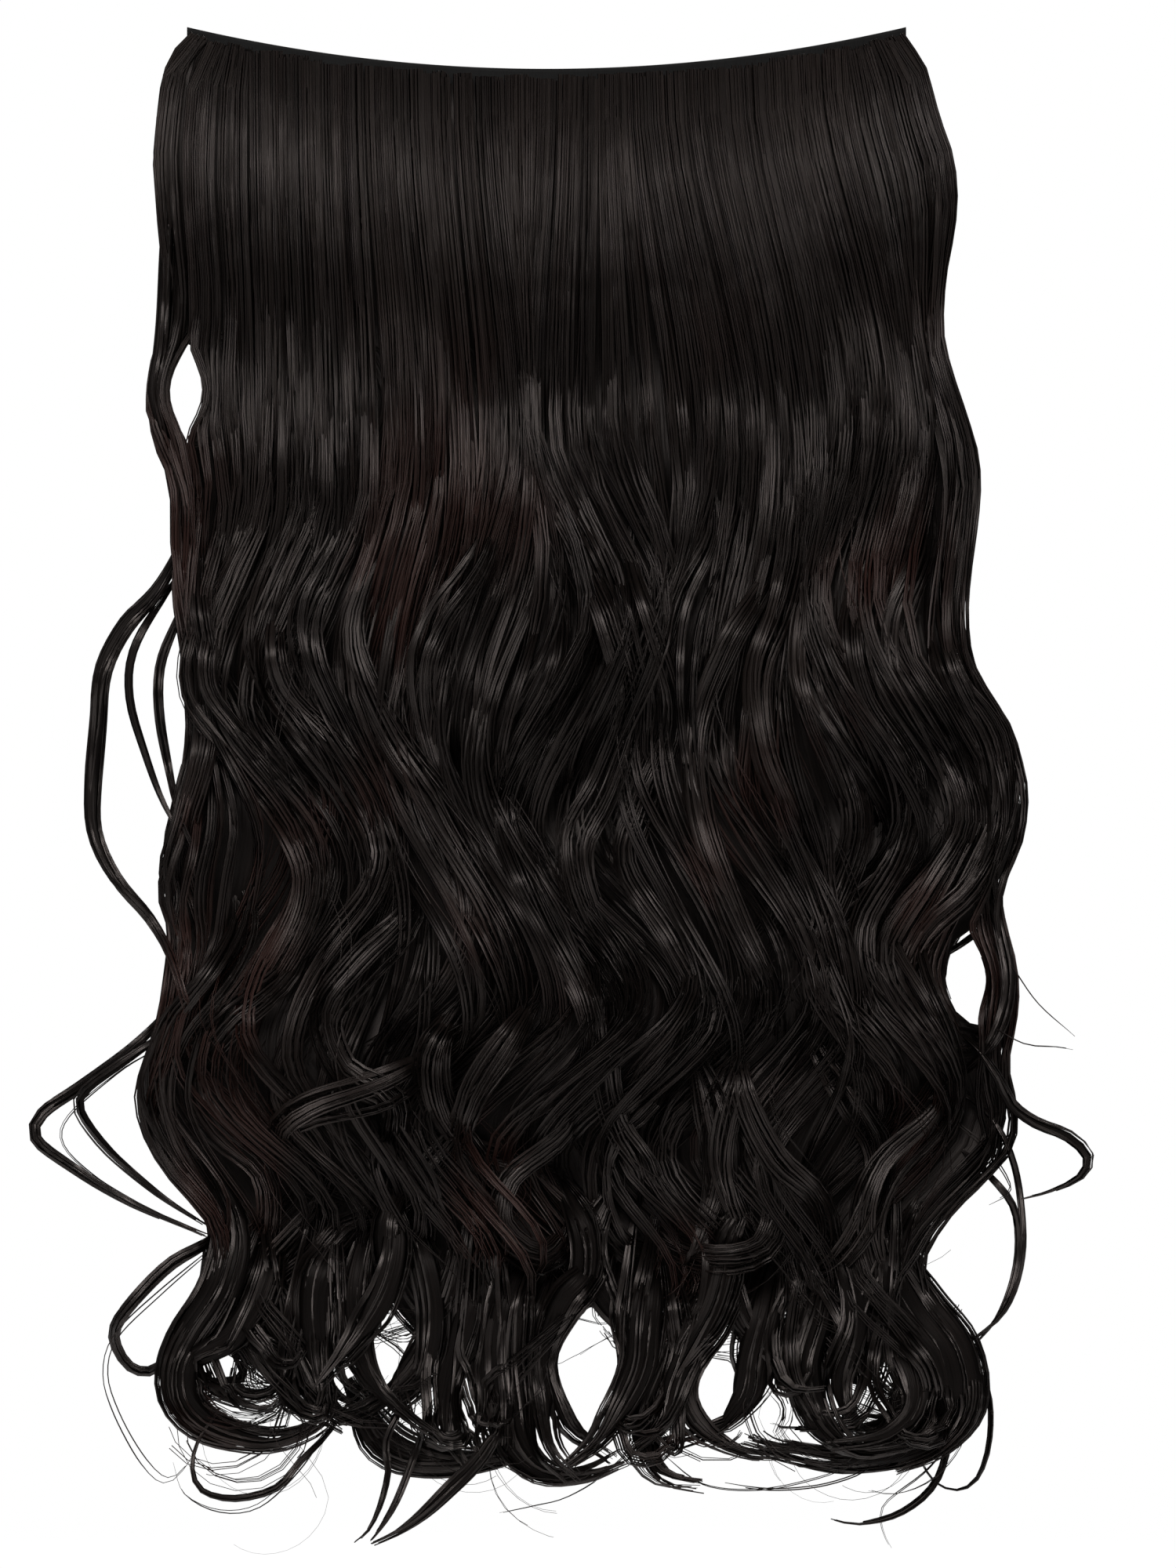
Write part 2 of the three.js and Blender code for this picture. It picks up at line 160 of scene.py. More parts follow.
# Locks that curl along the lower end, in the same columns
END_LOCKS = (
    (9, 6, ((-130, 380), (-114, 411), (-117, 434), (-129, 455), (-132, 473), (-121, 485), (-100, 490),
        (-81, 483), (-78, 471))),
    (6, 3, ((-99, 406), (-102, 431), (-113, 451), (-124, 463), (-116, 474), (-99, 480))),
    (7, 4, ((-105, 417), (-100, 440), (-89, 460), (-78, 478), (-62, 484))),
    (8, 4, ((-73, 412), (-82, 431), (-83, 451), (-78, 471), (-65, 480))),
    (8, 4, ((-30, 406), (-32, 429), (-39, 449), (-50, 466), (-65, 478), (-78, 481))),
    (6, 3, ((-28, 412), (-28, 440), (-34, 463), (-36, 486), (-28, 499))),
    (7, 4, ((-72, 468), (-59, 490), (-39, 497), (-16, 496), (-2, 488))),
    (6, 3, ((-11, 412), (-21, 434), (-24, 457), (-26, 480), (-22, 497))),
    (9, 5, ((-2, 417), (-13, 440), (-14, 466), (-12, 488), (-2, 501), (14, 503), (29, 498))),
    (7, 4, ((7, 420), (-1, 443), (-2, 469), (1, 491), (12, 503))),
    (8, 4, ((38, 414), (36, 440), (32, 463), (21, 486), (5, 500))),
    (8, 4, ((52, 420), (48, 446), (40, 469), (34, 488), (41, 500), (56, 504))),
    (8, 4, ((86, 417), (80, 440), (74, 461), (66, 478), (52, 489), (38, 493))),
    (7, 4, ((66, 423), (55, 446), (49, 466), (44, 480), (29, 494))),
    (8, 4, ((103, 420), (98, 443), (93, 463), (98, 481), (113, 493), (132, 491))),
    (11, 9, ((123, 394), (124, 420), (134, 440), (146, 457), (148, 476), (135, 489), (112, 495), (86, 492),
        (72, 488))),
    (8, 4, ((112, 412), (118, 434), (129, 454), (134, 474), (123, 486), (101, 490))),
    (6, 3, ((138, 400), (130, 424), (140, 444), (152, 460), (154, 477), (143, 492), (126, 500))),
    (6, 3, ((-120, 418), (-117, 438), (-108, 453), (-97, 464), (-88, 478), (-74, 486))),
    (5, 3, ((-60, 400), (-67, 422), (-69, 442), (-64, 461), (-53, 477), (-38, 488))),
    (6, 3, ((-52, 404), (-44, 425), (-41, 446), (-46, 468), (-60, 484))),
    (6, 3, ((22, 405), (18, 425), (6, 440), (3, 462), (8, 484), (24, 496))),
    (6, 3, ((66, 405), (70, 425), (62, 443), (52, 460), (54, 482), (70, 494), (88, 496))),
    (6, 3, ((96, 405), (108, 424), (112, 446), (106, 468), (112, 484), (128, 488))),
    (6, 3, ((128, 405), (122, 428), (126, 448), (140, 462), (144, 478), (132, 490))),
    (6, 3, ((-66, 392), (-55, 412), (-58, 434), (-70, 454), (-84, 470))),
    (6, 3, ((-46, 388), (-57, 410), (-53, 434), (-41, 452), (-30, 472))),
    (6, 3, ((2, 392), (13, 412), (13, 430), (3, 448), (-6, 468))),
    (6, 3, ((28, 392), (15, 414), (19, 434), (31, 452), (40, 472))),
    (6, 3, ((52, 394), (64, 416), (61, 438), (50, 458), (42, 476))),
    (6, 3, ((78, 396), (65, 418), (69, 442), (80, 458), (90, 474))),
)

# Bunches of small curls along the lower end: place across, half width, lowest drop, curls
END_TUFTS = (
    (-102, 22, 484, 8),
    (-68, 8, 474, 3),
    (-28, 13, 497, 7),
    (37, 11, 498, 6),
    (112, 30, 494, 11),
)

# Locks that have come loose along the outline, in the same columns
LOOSE_LOCKS = (
    (3.0, 3, ((-134, 30), (-137, 52), (-138, 70), (-139, 86), (-140, 100), (-141, 113), (-139, 127),
        (-136, 140), (-132, 155), (-129, 175))),
    (3.4, 4, ((-128, 150), (-134, 167), (-142, 183), (-153, 195), (-161, 211), (-163, 229), (-165, 251),
        (-164, 269), (-156, 286), (-144, 300), (-136, 313), (-130, 332))),
    (1.5, 1, ((-132, 172), (-140, 185), (-150, 204), (-151, 221), (-146, 240), (-140, 255), (-133, 268),
        (-126, 282))),
    (1.3, 1, ((-130, 180), (-135, 195), (-140, 210), (-140, 229), (-136, 249), (-132, 264), (-126, 278))),
    (3.0, 3, ((160, 258), (160, 274), (161, 289), (165, 306), (167, 320), (166, 334), (161, 346),
        (152, 356), (140, 366))),
    (1.9, 2, ((-128, 322), (-137, 334), (-151, 348), (-170, 362), (-183, 371), (-185, 380), (-171, 391),
        (-150, 403), (-122, 415))),
    (1.5, 1, ((-132, 338), (-150, 351), (-165, 362), (-168, 370), (-158, 385), (-141, 400), (-120, 414))),
    (2.2, 2, ((148, 340), (157, 349), (163, 358), (168, 368), (177, 375), (189, 380), (196, 387),
        (193, 394), (183, 399), (172, 402))),
    (1.0, 1, ((148, 362), (162, 373), (170, 390), (173, 411), (172, 427), (166, 443), (156, 453),
        (144, 460))),
    (0.8, 1, ((148, 382), (160, 393), (169, 404), (171, 417), (169, 431), (163, 446), (154, 457))),
    (1.6, 2, ((-110, 404), (-120, 416), (-135, 424), (-149, 438), (-156, 448), (-156, 456), (-151, 464),
        (-144, 466), (-136, 461), (-128, 452))),
    (1.1, 1, ((-70, 474), (-78, 486), (-88, 496), (-97, 506), (-112, 510), (-124, 507), (-128, 499),
        (-126, 489), (-120, 480))),
    (2.6, 3, ((-14, 476), (-23, 493), (-34, 505), (-44, 515), (-54, 522), (-63, 526))),
    (1.0, 1, ((-50, 472), (-58, 488), (-57, 500), (-60, 513), (-64, 521), (-69, 525))),
    (0.7, 1, ((-42, 478), (-48, 496), (-54, 511), (-60, 521), (-64, 526))),
    (1.0, 1, ((150, 454), (159, 470), (160, 488), (156, 503), (149, 508), (141, 505), (136, 497))),
    (0.9, 1, ((148, 480), (142, 503), (129, 515), (113, 519), (103, 517))),
)

# Single hairs that stray from the outline, in the same columns
STRAY_HAIRS = (
    (1.0, 1, ((-137, 346), (-156, 357), (-176, 377), (-164, 394), (-130, 411))),
    (0.8, 1, ((-118, 418), (-140, 436), (-156, 452), (-160, 466), (-156, 480), (-146, 497), (-138, 504),
        (-131, 499), (-124, 486))),
    (0.8, 1, ((-78, 484), (-90, 500), (-104, 513), (-118, 515), (-131, 509), (-135, 497))),
    (0.8, 1, ((148, 490), (137, 502), (122, 514), (123, 525), (127, 531))),
    (1.0, 1, ((150, 470), (150, 488), (140, 502), (126, 508), (114, 506))),
    (0.8, 1, ((40, 494), (56, 504), (76, 506), (98, 502), (118, 494))),
    (0.8, 1, ((128, 494), (108, 503), (84, 506), (60, 503))),
    (0.8, 1, ((26, 498), (8, 508), (-4, 511), (-17, 514))),
    (0.8, 1, ((146, 372), (160, 384), (168, 398), (160, 404))),
    (0.8, 1, ((158, 304), (168, 317), (178, 331), (191, 343))),
    (0.8, 1, ((158, 338), (172, 346), (184, 347), (192, 348))),
)

# Gaps at the two sides, then between the bunches at the lower end, which all hair goes round:
# place across, drop, half width, half height
GAPS = (
    (-130.5, 112, 7.6, 14.5),
    (153, 322, 7.5, 15.5),
    (-57, 459, 6, 12),
    (-28, 474, 5, 14),
    (-19, 474, 3, 12),
    (14, 461, 11.5, 17.5),
    (62, 470, 9.2, 14.2),
    (82, 479, 5, 8),
    (-117, 463, 10, 6),
    (142, 478, 4, 5),
)
SIDE_GAPS = 2

# The lower edges of the dark insides of the front row and the back row: place across, drop
FRONT_INSIDE_EDGE = (
    (-140, 436), (-118, 440), (-100, 452), (-80, 450), (-66, 436), (-48, 436), (-38, 446), (-18, 454),
    (-4, 446), (6, 436), (22, 436), (32, 450), (46, 450), (56, 446), (72, 446), (90, 452), (102, 464),
    (126, 469), (140, 455), (154, 436),
)
BACK_INSIDE_EDGE = ((-140, 404), (-70, 420), (-10, 406), (50, 422), (140, 406))


def length_setting(name, description, default):
    return FloatProperty(name=name, description=description, default=default, unit="LENGTH")


def count_setting(name, description, default, least=1):
    return IntProperty(name=name, description=description, default=default, min=least)


def share_setting(name, description, default):
    return FloatProperty(name=name, description=description, default=default, min=0.0, max=1.0)


def colour_setting(name, description, default):
    return FloatVectorProperty(name=name, description=description, default=default, size=3, subtype="COLOR")


class BandSettings(PropertyGroup):
    """Sizes and colours of the weft band."""

    width: length_setting("Width", "From end to end, measured straight", 0.262)
    height: length_setting("Height", "Height of the band", 0.016)
    thickness: length_setting("Thickness", "Thickness of the webbing", 0.0024)
    end_rise: length_setting("End rise", "How far the ends stand above the middle", 0.016)
    end_sweep: length_setting("End sweep", "How far the ends sweep back", 0.008)
    stitch_pitch: length_setting("Stitch pitch", "From stitch to stitch", 0.0032)
    stitch_width: length_setting("Thread width", "Width of the sewing thread", 0.00055)
    colour: colour_setting("Webbing", "Colour of the webbing", (0.0020, 0.0018, 0.0017))
    thread: colour_setting("Thread", "Colour of the thread", (0.016, 0.0145, 0.014))


class HairSettings(PropertyGroup):
    """Numbers, sizes and colours of the hair."""

    wisps_long: count_setting("Long wisps", "Wisps in the front row from band to end", 57)
    wisps_upper: count_setting("Upper wisps", "Wisps in the front row that end half way", 84)
    wisps_lower: count_setting("Lower wisps", "Wisps in the front row below half way", 91)
    wisps_back: count_setting("Back wisps", "Wisps in each layer of the back row", 46)
    wisps_stray: count_setting("Stray wisps", "Places where single hairs stray", 31, 0)
    strands: count_setting("Strands", "Strands in each wisp", 7)
    strands_fine: count_setting("Fine strands", "Strands in each upper wisp", 14)
    strands_back: count_setting("Back strands", "Strands in each wisp of the back row", 6)
    strands_stray: count_setting("Stray strands", "Hairs at each place where they stray", 2)
    strand_width: length_setting("Strand width", "Width of a strand of a lock", 0.00092)
    early_end: share_setting("Early end", "The most that a strand ends short of its wisp", 0.16)
    roundness: share_setting("Roundness", "How far each strand is shaded on its own", 0.15)
    frizz: length_setting("Frizz", "How far strands stray from their wisp", 0.0015)
    seed: count_setting("Seed", "Fixes every random choice", 7, 0)
    dark: colour_setting("Dark", "Colour of the darkest hair", (0.0030, 0.0023, 0.0021))
    brown: colour_setting("Brown", "Colour of the lightest hair", (0.0150, 0.0100, 0.0085))
    red: colour_setting("Red tint", "Colour of the reddish strands", (0.0340, 0.0125, 0.0095))


class ClipSettings(PropertyGroup):
    """Number and colour of the snap clips."""

    count: count_setting("Clips", "Clips along the band", 5)
    colour: colour_setting("Enamel", "Colour of the enamel", (0.013, 0.012, 0.0117))


class StageSettings(PropertyGroup):
    """The studio: camera distance, floor and light."""

    distance: length_setting("Camera distance", "From the camera to the band's plane", 2.6)
    view_height: length_setting("View height", "Height of the picture at the band's plane", 0.570)
    view_side: length_setting("View side", "Picture's middle, to the right of the origin", 0.0151)
    view_drop: length_setting("View drop", "Picture's middle, below the origin", 0.2519)
    floor_drop: length_setting("Floor drop", "Floor below the origin", 0.62)
    paper: colour_setting("Paper", "Colour of the floor and background", (0.94, 0.94, 0.94))


class Value:
    """A node socket that carries numbers. Sums and products of it add nodes to its tree."""

    def __init__(self, graph, socket):
        self.graph = graph
        self.socket = socket

    def math(self, operation, *terms):
        return self.graph.add("ShaderNodeMath", {"operation": operation}, dict(enumerate(terms)))[0]

    def __add__(self, other):
        return self.math("ADD", self, other)

    def __radd__(self, other):
        return self.math("ADD", other, self)

    def __sub__(self, other):
        return self.math("SUBTRACT", self, other)

    def __rsub__(self, other):
        return self.math("SUBTRACT", other, self)

    def __mul__(self, other):
        return self.math("MULTIPLY", self, other)

    def __rmul__(self, other):
        return self.math("MULTIPLY", other, self)

    def __pow__(self, other):
        return self.math("POWER", self, other)

    def step(self, low, high):
        """0 below low, 1 above high, and smooth between them."""
        sockets = {"Value": self, "From Min": low, "From Max": high, "To Min": 0.0, "To Max": 1.0}
        return self.graph.add("ShaderNodeMapRange", {"interpolation_type": "SMOOTHSTEP"}, sockets)["Result"]


class Made:
    """A node that has been added: its outputs are read by name or number."""

    def __init__(self, graph, node):
        self.graph = graph
        self.node = node

    def __getitem__(self, key):
        return Value(self.graph, pick(self.node.outputs, key))


class Graph:
    """Adds nodes to one shader or geometry tree."""

    def __init__(self, tree):
        self.tree = tree

    def add(self, kind, settings=None, sockets=None):
        node = self.tree.nodes.new(kind)
        for name, value in (settings or {}).items():
            setattr(node, name, value)
        for key, value in (sockets or {}).items():
            self.join(value, pick(node.inputs, key))
        return Made(self, node)

    def shape(self, kind, settings=None, output="Geometry", **sockets):
        """The geometry that comes out of a new node."""
        named = {name.replace("_", " "): value for name, value in sockets.items()}
        return self.add(f"GeometryNode{kind}", settings, named)[output]

    def vector(self, operation, *terms, output="Vector"):
        return self.add("ShaderNodeVectorMath", {"operation": operation}, dict(enumerate(terms)))[output]

    def join(self, value, socket):
        if isinstance(value, Value):
            self.tree.links.new(value.socket, socket)
        else:
            socket.default_value = value


def pick(sockets, key):
    """The socket of that number, or the first one in use of that name."""
    if isinstance(key, int):
        return sockets[key]
    for socket in sockets:
        if socket.name == key and socket.enabled:
            return socket
    raise KeyError(f"no socket {key} among {[socket.name for socket in sockets]}")


def colour(rgb):
    return (rgb[0], rgb[1], rgb[2], 1.0)


def blend_colour(graph, factor, low, high):
    sockets = {"Factor": factor, "A": low, "B": high}
    return graph.add("ShaderNodeMix", {"data_type": "RGBA"}, sockets)["Result"]


def new_finish(name):
    """An empty material with a Principled shader, its graph, and a way to set the shader's sockets."""
    material = bpy.data.materials.new(name)
    material.use_nodes = True
    material.node_tree.nodes.clear()
    graph = Graph(material.node_tree)
    shader = graph.add("ShaderNodeBsdfPrincipled")
    graph.add("ShaderNodeOutputMaterial", None, {"Surface": shader["BSDF"]})

    def dress(**sockets):
        for name, value in sockets.items():
            graph.join(value, pick(shader.node.inputs, name.replace("_", " ")))

    return material, graph, dress


def object_place(graph):
    return graph.add("ShaderNodeTexCoord")["Object"]


def noise(graph, place, scale, detail=3.0, stretch=(1.0, 1.0, 1.0)):
    """Soft noise from 0 to 1; stretch scales each axis first."""
    mapped = graph.add("ShaderNodeMapping", None, {"Vector": place, "Scale": stretch})["Vector"]
    return graph.add("ShaderNodeTexNoise", None, {"Vector": mapped, "Scale": scale, "Detail": detail})["Fac"]


def bumps(graph, strength, distance, height):
    sockets = {"Strength": strength, "Distance": distance, "Height": height}
    return graph.add("ShaderNodeBump", None, sockets)["Normal"]


def attribute(graph, name, output="Fac"):
    return graph.add("ShaderNodeAttribute", {"attribute_name": name})[output]


# The shine of hair is a little warm, and its light patches and reddish patches are a few centimetres wide.
SHINE = (1.0, 0.87, 0.82, 1.0)
PATCHES_PER_METRE, RED_PER_METRE = 16.0, 13.0


def hair_finish(settings, name, painted_shading, gloss, rough=0.27):
    """Satin fibre: each strand has its own tone, with broad patches of brown and a few reddish strands."""
    material, graph, dress = new_finish(name)
    place = object_place(graph)
    tone, hue, run, around = [attribute(graph, label) for label in ("tone", "hue", "run", "around")]
    patches = noise(graph, place, PATCHES_PER_METRE, stretch=(1.0, 1.0, 0.6))
    sockets = {"X": around * 7.0 + tone * 37.0, "Y": run * 25.0, "Z": hue * 11.0}
    along = graph.add("ShaderNodeCombineXYZ", None, sockets)["Vector"]
    hairs = noise(graph, along, 1.0, detail=1.0)
    lightness = tone ** 1.6 * 0.28 + hue * 0.34 + patches.step(0.42, 0.7) * 0.3 + hairs * 0.6 - 0.3
    # Scaling the lightness paints light or shade: copies scaled above 1 are painted lit, below 1 painted
    # shaded.
    plain = blend_colour(graph, lightness * painted_shading, colour(settings.dark), colour(settings.brown))
    warmth = noise(graph, place, RED_PER_METRE, detail=1.0, stretch=(1.0, 0.4, 0.8))
    reddish = warmth.step(0.5, 0.66) * run.step(0.06, 0.22) * (0.45 + 0.35 * hue + 0.2 * tone)
    dress(
        Base_Color=blend_colour(graph, reddish, plain, colour(settings.red)),
        Roughness=rough + 0.06 * tone + 0.08 * patches + 0.05 * hairs,
        Specular_IOR_Level=gloss,
        Specular_Tint=SHINE,
        Normal=bumps(graph, 0.6, 0.0003, hairs),
    )
    return material


def shadow_finish(settings, name, painted_shading):
    """The hair far inside a row or lock, combed in streaks from root to end; its darkness is painted shade.
    """
    material, graph, dress = new_finish(name)
    combed = attribute(graph, "combed", "Vector")
    fine = noise(graph, combed, 1.0, detail=2.0, stretch=(1.1, 0.02, 1.0))
    broad = noise(graph, combed, 1.0, detail=2.0, stretch=(0.3, 0.012, 1.0))
    streaks = fine.step(0.35, 0.8) * broad.step(0.25, 0.7) * painted_shading
    # Painted shade: the inside is darker than the darkest hair, and a factor below 1 dims its streaks and
    # shine more.
    painted_shade_dark = [0.6 * part for part in settings.dark]
    dress(
        Base_Color=blend_colour(graph, streaks, colour(painted_shade_dark), colour(settings.brown)),
        Roughness=0.4 + 0.2 * fine,
        Specular_IOR_Level=0.3 * painted_shading,
        Specular_Tint=SHINE,
        Normal=bumps(graph, 0.8, 0.0012, fine * 0.5 + broad * 1.5),
    )
    return material


def webbing_finish(settings):
    """Matt sewn webbing with fine upright ribs."""
    material, graph, dress = new_finish("webbing")
    place = object_place(graph)
    ribs = noise(graph, place, 900.0, detail=1.0, stretch=(1.0, 0.2, 0.08))
    wear = noise(graph, place, 60.0)
    pale = [min(1.0, 2.6 * part) for part in settings.colour]
    paleness = ribs * 0.5 + wear.step(0.45, 0.75) * 0.35
    dress(
        Base_Color=blend_colour(graph, paleness, colour(settings.colour), colour(pale)),
        Roughness=0.66 + 0.2 * wear,
        Specular_IOR_Level=0.25,
        Normal=bumps(graph, 0.55, 0.0004, ribs),
    )
    return material


def thread_finish(settings):
    """Sewing thread with a faint twist."""
    material, graph, dress = new_finish("thread")
    twist = noise(graph, object_place(graph), 1500.0, detail=1.0)
    pale = [1.7 * part for part in settings.thread]
    dress(
        Base_Color=blend_colour(graph, twist, colour(settings.thread), colour(pale)),
        Roughness=0.5 + 0.2 * twist,
    )
    return material


def enamel_finish(settings):
    """Dark enamel on pressed steel, a little worn."""
    material, graph, dress = new_finish("enamel")
    wear = noise(graph, object_place(graph), 240.0, detail=4.0)
    worn = blend_colour(graph, wear.step(0.62, 0.8), colour(settings.colour), (0.035, 0.033, 0.032, 1.0))
    fine = bumps(graph, 0.12, 0.0002, wear)
    dress(Base_Color=worn, Roughness=0.28 + 0.22 * wear, Normal=fine, Metallic=0.35)
    return material


def smooth_step(value, low, high):
    share = np.clip((np.asarray(value, float) - low) / (high - low), 0.0, 1.0)
    return share * share * (3.0 - 2.0 * share)


def mix(low, high, share):
    return low + (high - low) * share


# The whole curtain spreads out just below the band, and is wider and leans to the right half way down.
FAN_SHARE, FAN_BELOW = 0.08, 40.0
BELLY_SHARE, BELLY_LEAN, BELLY_TOP, BELLY_BOTTOM = 0.06, 8.0, 60.0, 460.0
SWING_TOP, SWING_BOTTOM, SWING_BELOW, LONGEST_HALF_WAVE = 0.16, 0.30, 380.0, 72.0
ROLL_TOP, ROLL_BOTTOM, ROLL_BELOW = 2.0, 7.5, 420.0
ROLL_PITCH = 124.0
ROOT_DROP = {FRONT: -3.0, BACK: 4.6}
DEPTH_ON_BAND, DEPTH_BELOW_BAND, LEAST_DEPTH = 3.2, 1.6, 0.4
ROOT_THICK, FULL_THICK, THICK_BELOW = 1.0, 5.4, 70.0
WIDTH_OF_PITCH = 0.58
ROWS_PART_AT = -1.2
HANGS_LEVEL_BELOW = 150.0

# Locks wave from this drop on. Hair folds over and gathers in them between these drops.
FIRST_WAVE = 110.0
FOLDS = (70.0, 200.0)
GATHERS = (60.0, 320.0)

# What differs between the rows: room for the locks at the edges, how far wisps gather in locks, how far
# inside the edges and past the outer locks they hang, and the spacing of points along them
EDGE_ROOM = {FRONT: 16.0, BACK: 0.0}
GATHERED = {FRONT: (0.15, 0.8), BACK: (0.0, 0.35)}
WITHIN_EDGE = {FRONT: 0.0, BACK: 3.0}
PAST_LOCKS = {FRONT: 0.0, BACK: 26.0}
POINT_SPACING = {FRONT: 7.0, BACK: 10.0}

# Roots of the wisps that follow each edge of the front row
EDGE_ROOTS = [128.0 - 1.3 * number for number in range(4)]

# Wisps: half width from root to end, half thickness from root to full, how unlike they are in width,
# how far they slide along their lock, and how far up the band they are sewn
WISP_WIDE, WISP_THICK = (3.2, 2.6), (0.5, 1.8)
SHORT_WIDE, SHORT_THICK = 2.8, (0.5, 1.6)
UNLIKE = (0.75, 1.25)
SLIDE, SHORT_SLIDE, SHORT_SLIP = 6.0, 7.0, 9.0
SEWN_UP = 2.5

# Short wisps: where upper ones end, where lower ones start, how long those are and how low they reach
UPPER_ENDS = (175.0, 285.0)
LOWER_STARTS, LOWER_LENGTHS, LOWEST_END = (130.0, 310.0), (110.0, 170.0), 448.0
LOWER_SPREAD_AT, LOWER_TRIES = 390.0, 14

# The cells, in metres, that hair is counted in to find where it is thin: number, size and offset,
# across and up
CELLS = np.array((110, 60))
CELL_SIZE, CELL_OFFSET = (0.004, 0.01), (0.2, 0.55)

# The curtain also waves in and out as one. Its crests are at an even pitch, after a longer first one
# below the band.
RIPPLE_PITCH, RIPPLE_TOP, RIPPLE_FULL = 76.0, 2.6, 4.8
FIRST_RISE, FIRST_CREST, FIRST_TROUGH = 2.0, 54.0, 94.0

# How far crests rise and fall across the width: size, pitch, phase
CREST_SHIFTS = ((10.0, 38.0, 0.7), (8.0, 15.0, 2.1), (5.0, 6.5, 0.0))

# Hair in a bend turns its face away from the inside of the bend, more so in a tight one.
BEND_LEAN, MOST_LEAN = 16.0, 0.75

# How far the hair also faces up or down as a whole: drop, share. Wisps turn up and down as they twist.
FACES_UP = (
    (0, -0.08), (60, -0.08), (90, -0.1), (108, -0.1), (128, 0.08), (148, 0.3), (165, 0.24), (190, 0.06),
    (212, 0.19), (228, -0.06), (246, -0.26), (262, -0.1), (284, 0.24), (300, 0.38), (320, 0.36),
    (334, 0.04), (348, -0.3), (366, -0.38), (388, -0.06), (412, 0.02), (440, 0.24), (480, 0.42),
)
TWIST, TWIST_OF_LOCKS, TWIST_PITCH = 0.18, 0.5, 46.0

# Where groups of locks swell out to face up more, or fall away to face down: place, drop, half width,
# half height, share
SWELLS = (
    (-76, 121, 32, 14, 0.16), (58, 94, 22, 18, -0.3), (34, 131, 24, 10, -0.5), (-52, 171, 13, 11, -0.6),
    (10, 174, 22, 14, 0.26), (142, 174, 12, 42, 0.3), (95, 168, 13, 20, -0.45), (-113, 230, 28, 11, 0.45),
    (24, 220, 26, 17, -0.7), (6, 271, 34, 13, 0.3), (102, 270, 44, 17, -0.85), (-92, 298, 38, 19, 0.12),
    (30, 319, 22, 16, 0.24), (-57, 332, 26, 11, -0.8), (150, 323, 18, 16, 0.24), (-118, 351, 25, 11, -0.5),
    (-27, 357, 15, 15, -0.7), (46, 357, 16, 15, -0.7), (-115, 392, 20, 12, 0.4), (95, 395, 15, 15, -0.7),
    (-3, 410, 15, 9, 0.4), (-39, 432, 22, 13, -0.8), (71, 450, 15, 11, -0.8),
)


def drape(points):
    """Bends points of the straight, flat extension, in millimetres, to the band's hanging curve."""
    band = bpy.context.scene.hair_band
    across = np.clip(points[..., 0] * MM / (band.width / 2), -1.1, 1.1) ** 2
    hang = 1.0 - smooth_step(-points[..., 2], 0.0, HANGS_LEVEL_BELOW)
    bent = np.array(points, float)
    bent[..., 1] += band.end_sweep / MM * across
    bent[..., 2] += band.end_rise / MM * across * hang
    return bent


def ripple(side, drop, slip=0.0):
    """How far the curtain bulges to the front at a place; the slip moves crests below the first one up."""
    shift = sum(size * np.sin(side / pitch + phase) for size, pitch, phase in CREST_SHIFTS)
    shift = shift + 16.0 * smooth_step(drop, 110.0, 220.0) * np.sin(side / 24.0 + drop / 90.0)
    down = drop + (slip - shift) * smooth_step(drop, -10.0, 120.0)
    lowest = FIRST_TROUGH + 6.0 * RIPPLE_PITCH
    turns = np.interp(down, (FIRST_RISE, FIRST_CREST, FIRST_TROUGH, lowest), (-0.25, 0.25, 0.75, 6.75))
    size = mix(RIPPLE_TOP, RIPPLE_FULL, smooth_step(drop, 60.0, 150.0))
    size = size * (1.0 + 0.25 * np.sin(side / 21.0 + 1.2))
    size = size * (1.0 - 0.35 * smooth_step(drop, 300.0, 420.0)) * smooth_step(drop, FIRST_RISE, 20.0)
    levels = (FIRST_RISE, FIRST_CREST, FIRST_TROUGH, 2.0 * FIRST_TROUGH)
    forward = np.interp(drop, levels, (1.0, -0.25, -0.45, 0.0))
    return size * (np.sin(2.0 * np.pi * turns) + forward)


def opened_at(drop, level, half_height):
    """How wide a tall, pointed gap is at a drop, as a share of its full width."""
    return np.clip(1.0 - ((drop - level) / half_height / 1.3) ** 2, 0.0, 1.0) ** 1.5


def parted(side, drop):
    """Moves a line out of the gaps: sideways round a tall, pointed one, and outwards round any other."""
    for place, level, half_width, half_height in GAPS:
        across, down = (side - place) / half_width, (drop - level) / half_height
        if half_height > 1.5 * half_width:
            opened = opened_at(drop, level, half_height)
            hand = np.sign(np.sum(across * opened)) or 1.0
            ahead = hand * across
            beside = np.cbrt(np.abs(ahead) ** 3 + opened**3) - ahead
            crossing = np.minimum(opened - ahead, 1.8 * opened)
            side = side + hand * half_width * np.where(ahead > 0.0, beside, crossing)
            continue
        reach = np.hypot(across, down) + 0.001
        further = (1.0 + reach**3) ** (1.0 / 3.0) / reach
        side, drop = place + half_width * across * further, level + half_height * down * further
    return side, drop


def finer_near_gaps(side, drop):
    """Adds points where a line passes a gap, so that it goes round it smoothly."""
    place, level, half_width, half_height = np.array(GAPS, float).T[:, :, None]
    reach = np.hypot((side - place) / half_width, (drop - level) / half_height).min(axis=0)
    length = np.hypot(np.diff(side), np.diff(drop))
    steps = np.where(np.minimum(reach[1:], reach[:-1]) < 1.7, np.ceil(length / 4.6), 1.0).astype(int)
    number = np.arange(len(side))
    at = np.concatenate([*(i + np.arange(n) / n for i, n in enumerate(steps)), number[-1:]])
    return np.interp(at, number, side), np.interp(at, number, drop)


def swing_at(drop, half_wave):
    share = mix(SWING_TOP, SWING_BOTTOM, min(drop / SWING_BELOW, 1.0))
    return share * min(half_wave, LONGEST_HALF_WAVE) * min(drop / SWING_BELOW + 0.24, 1.0)


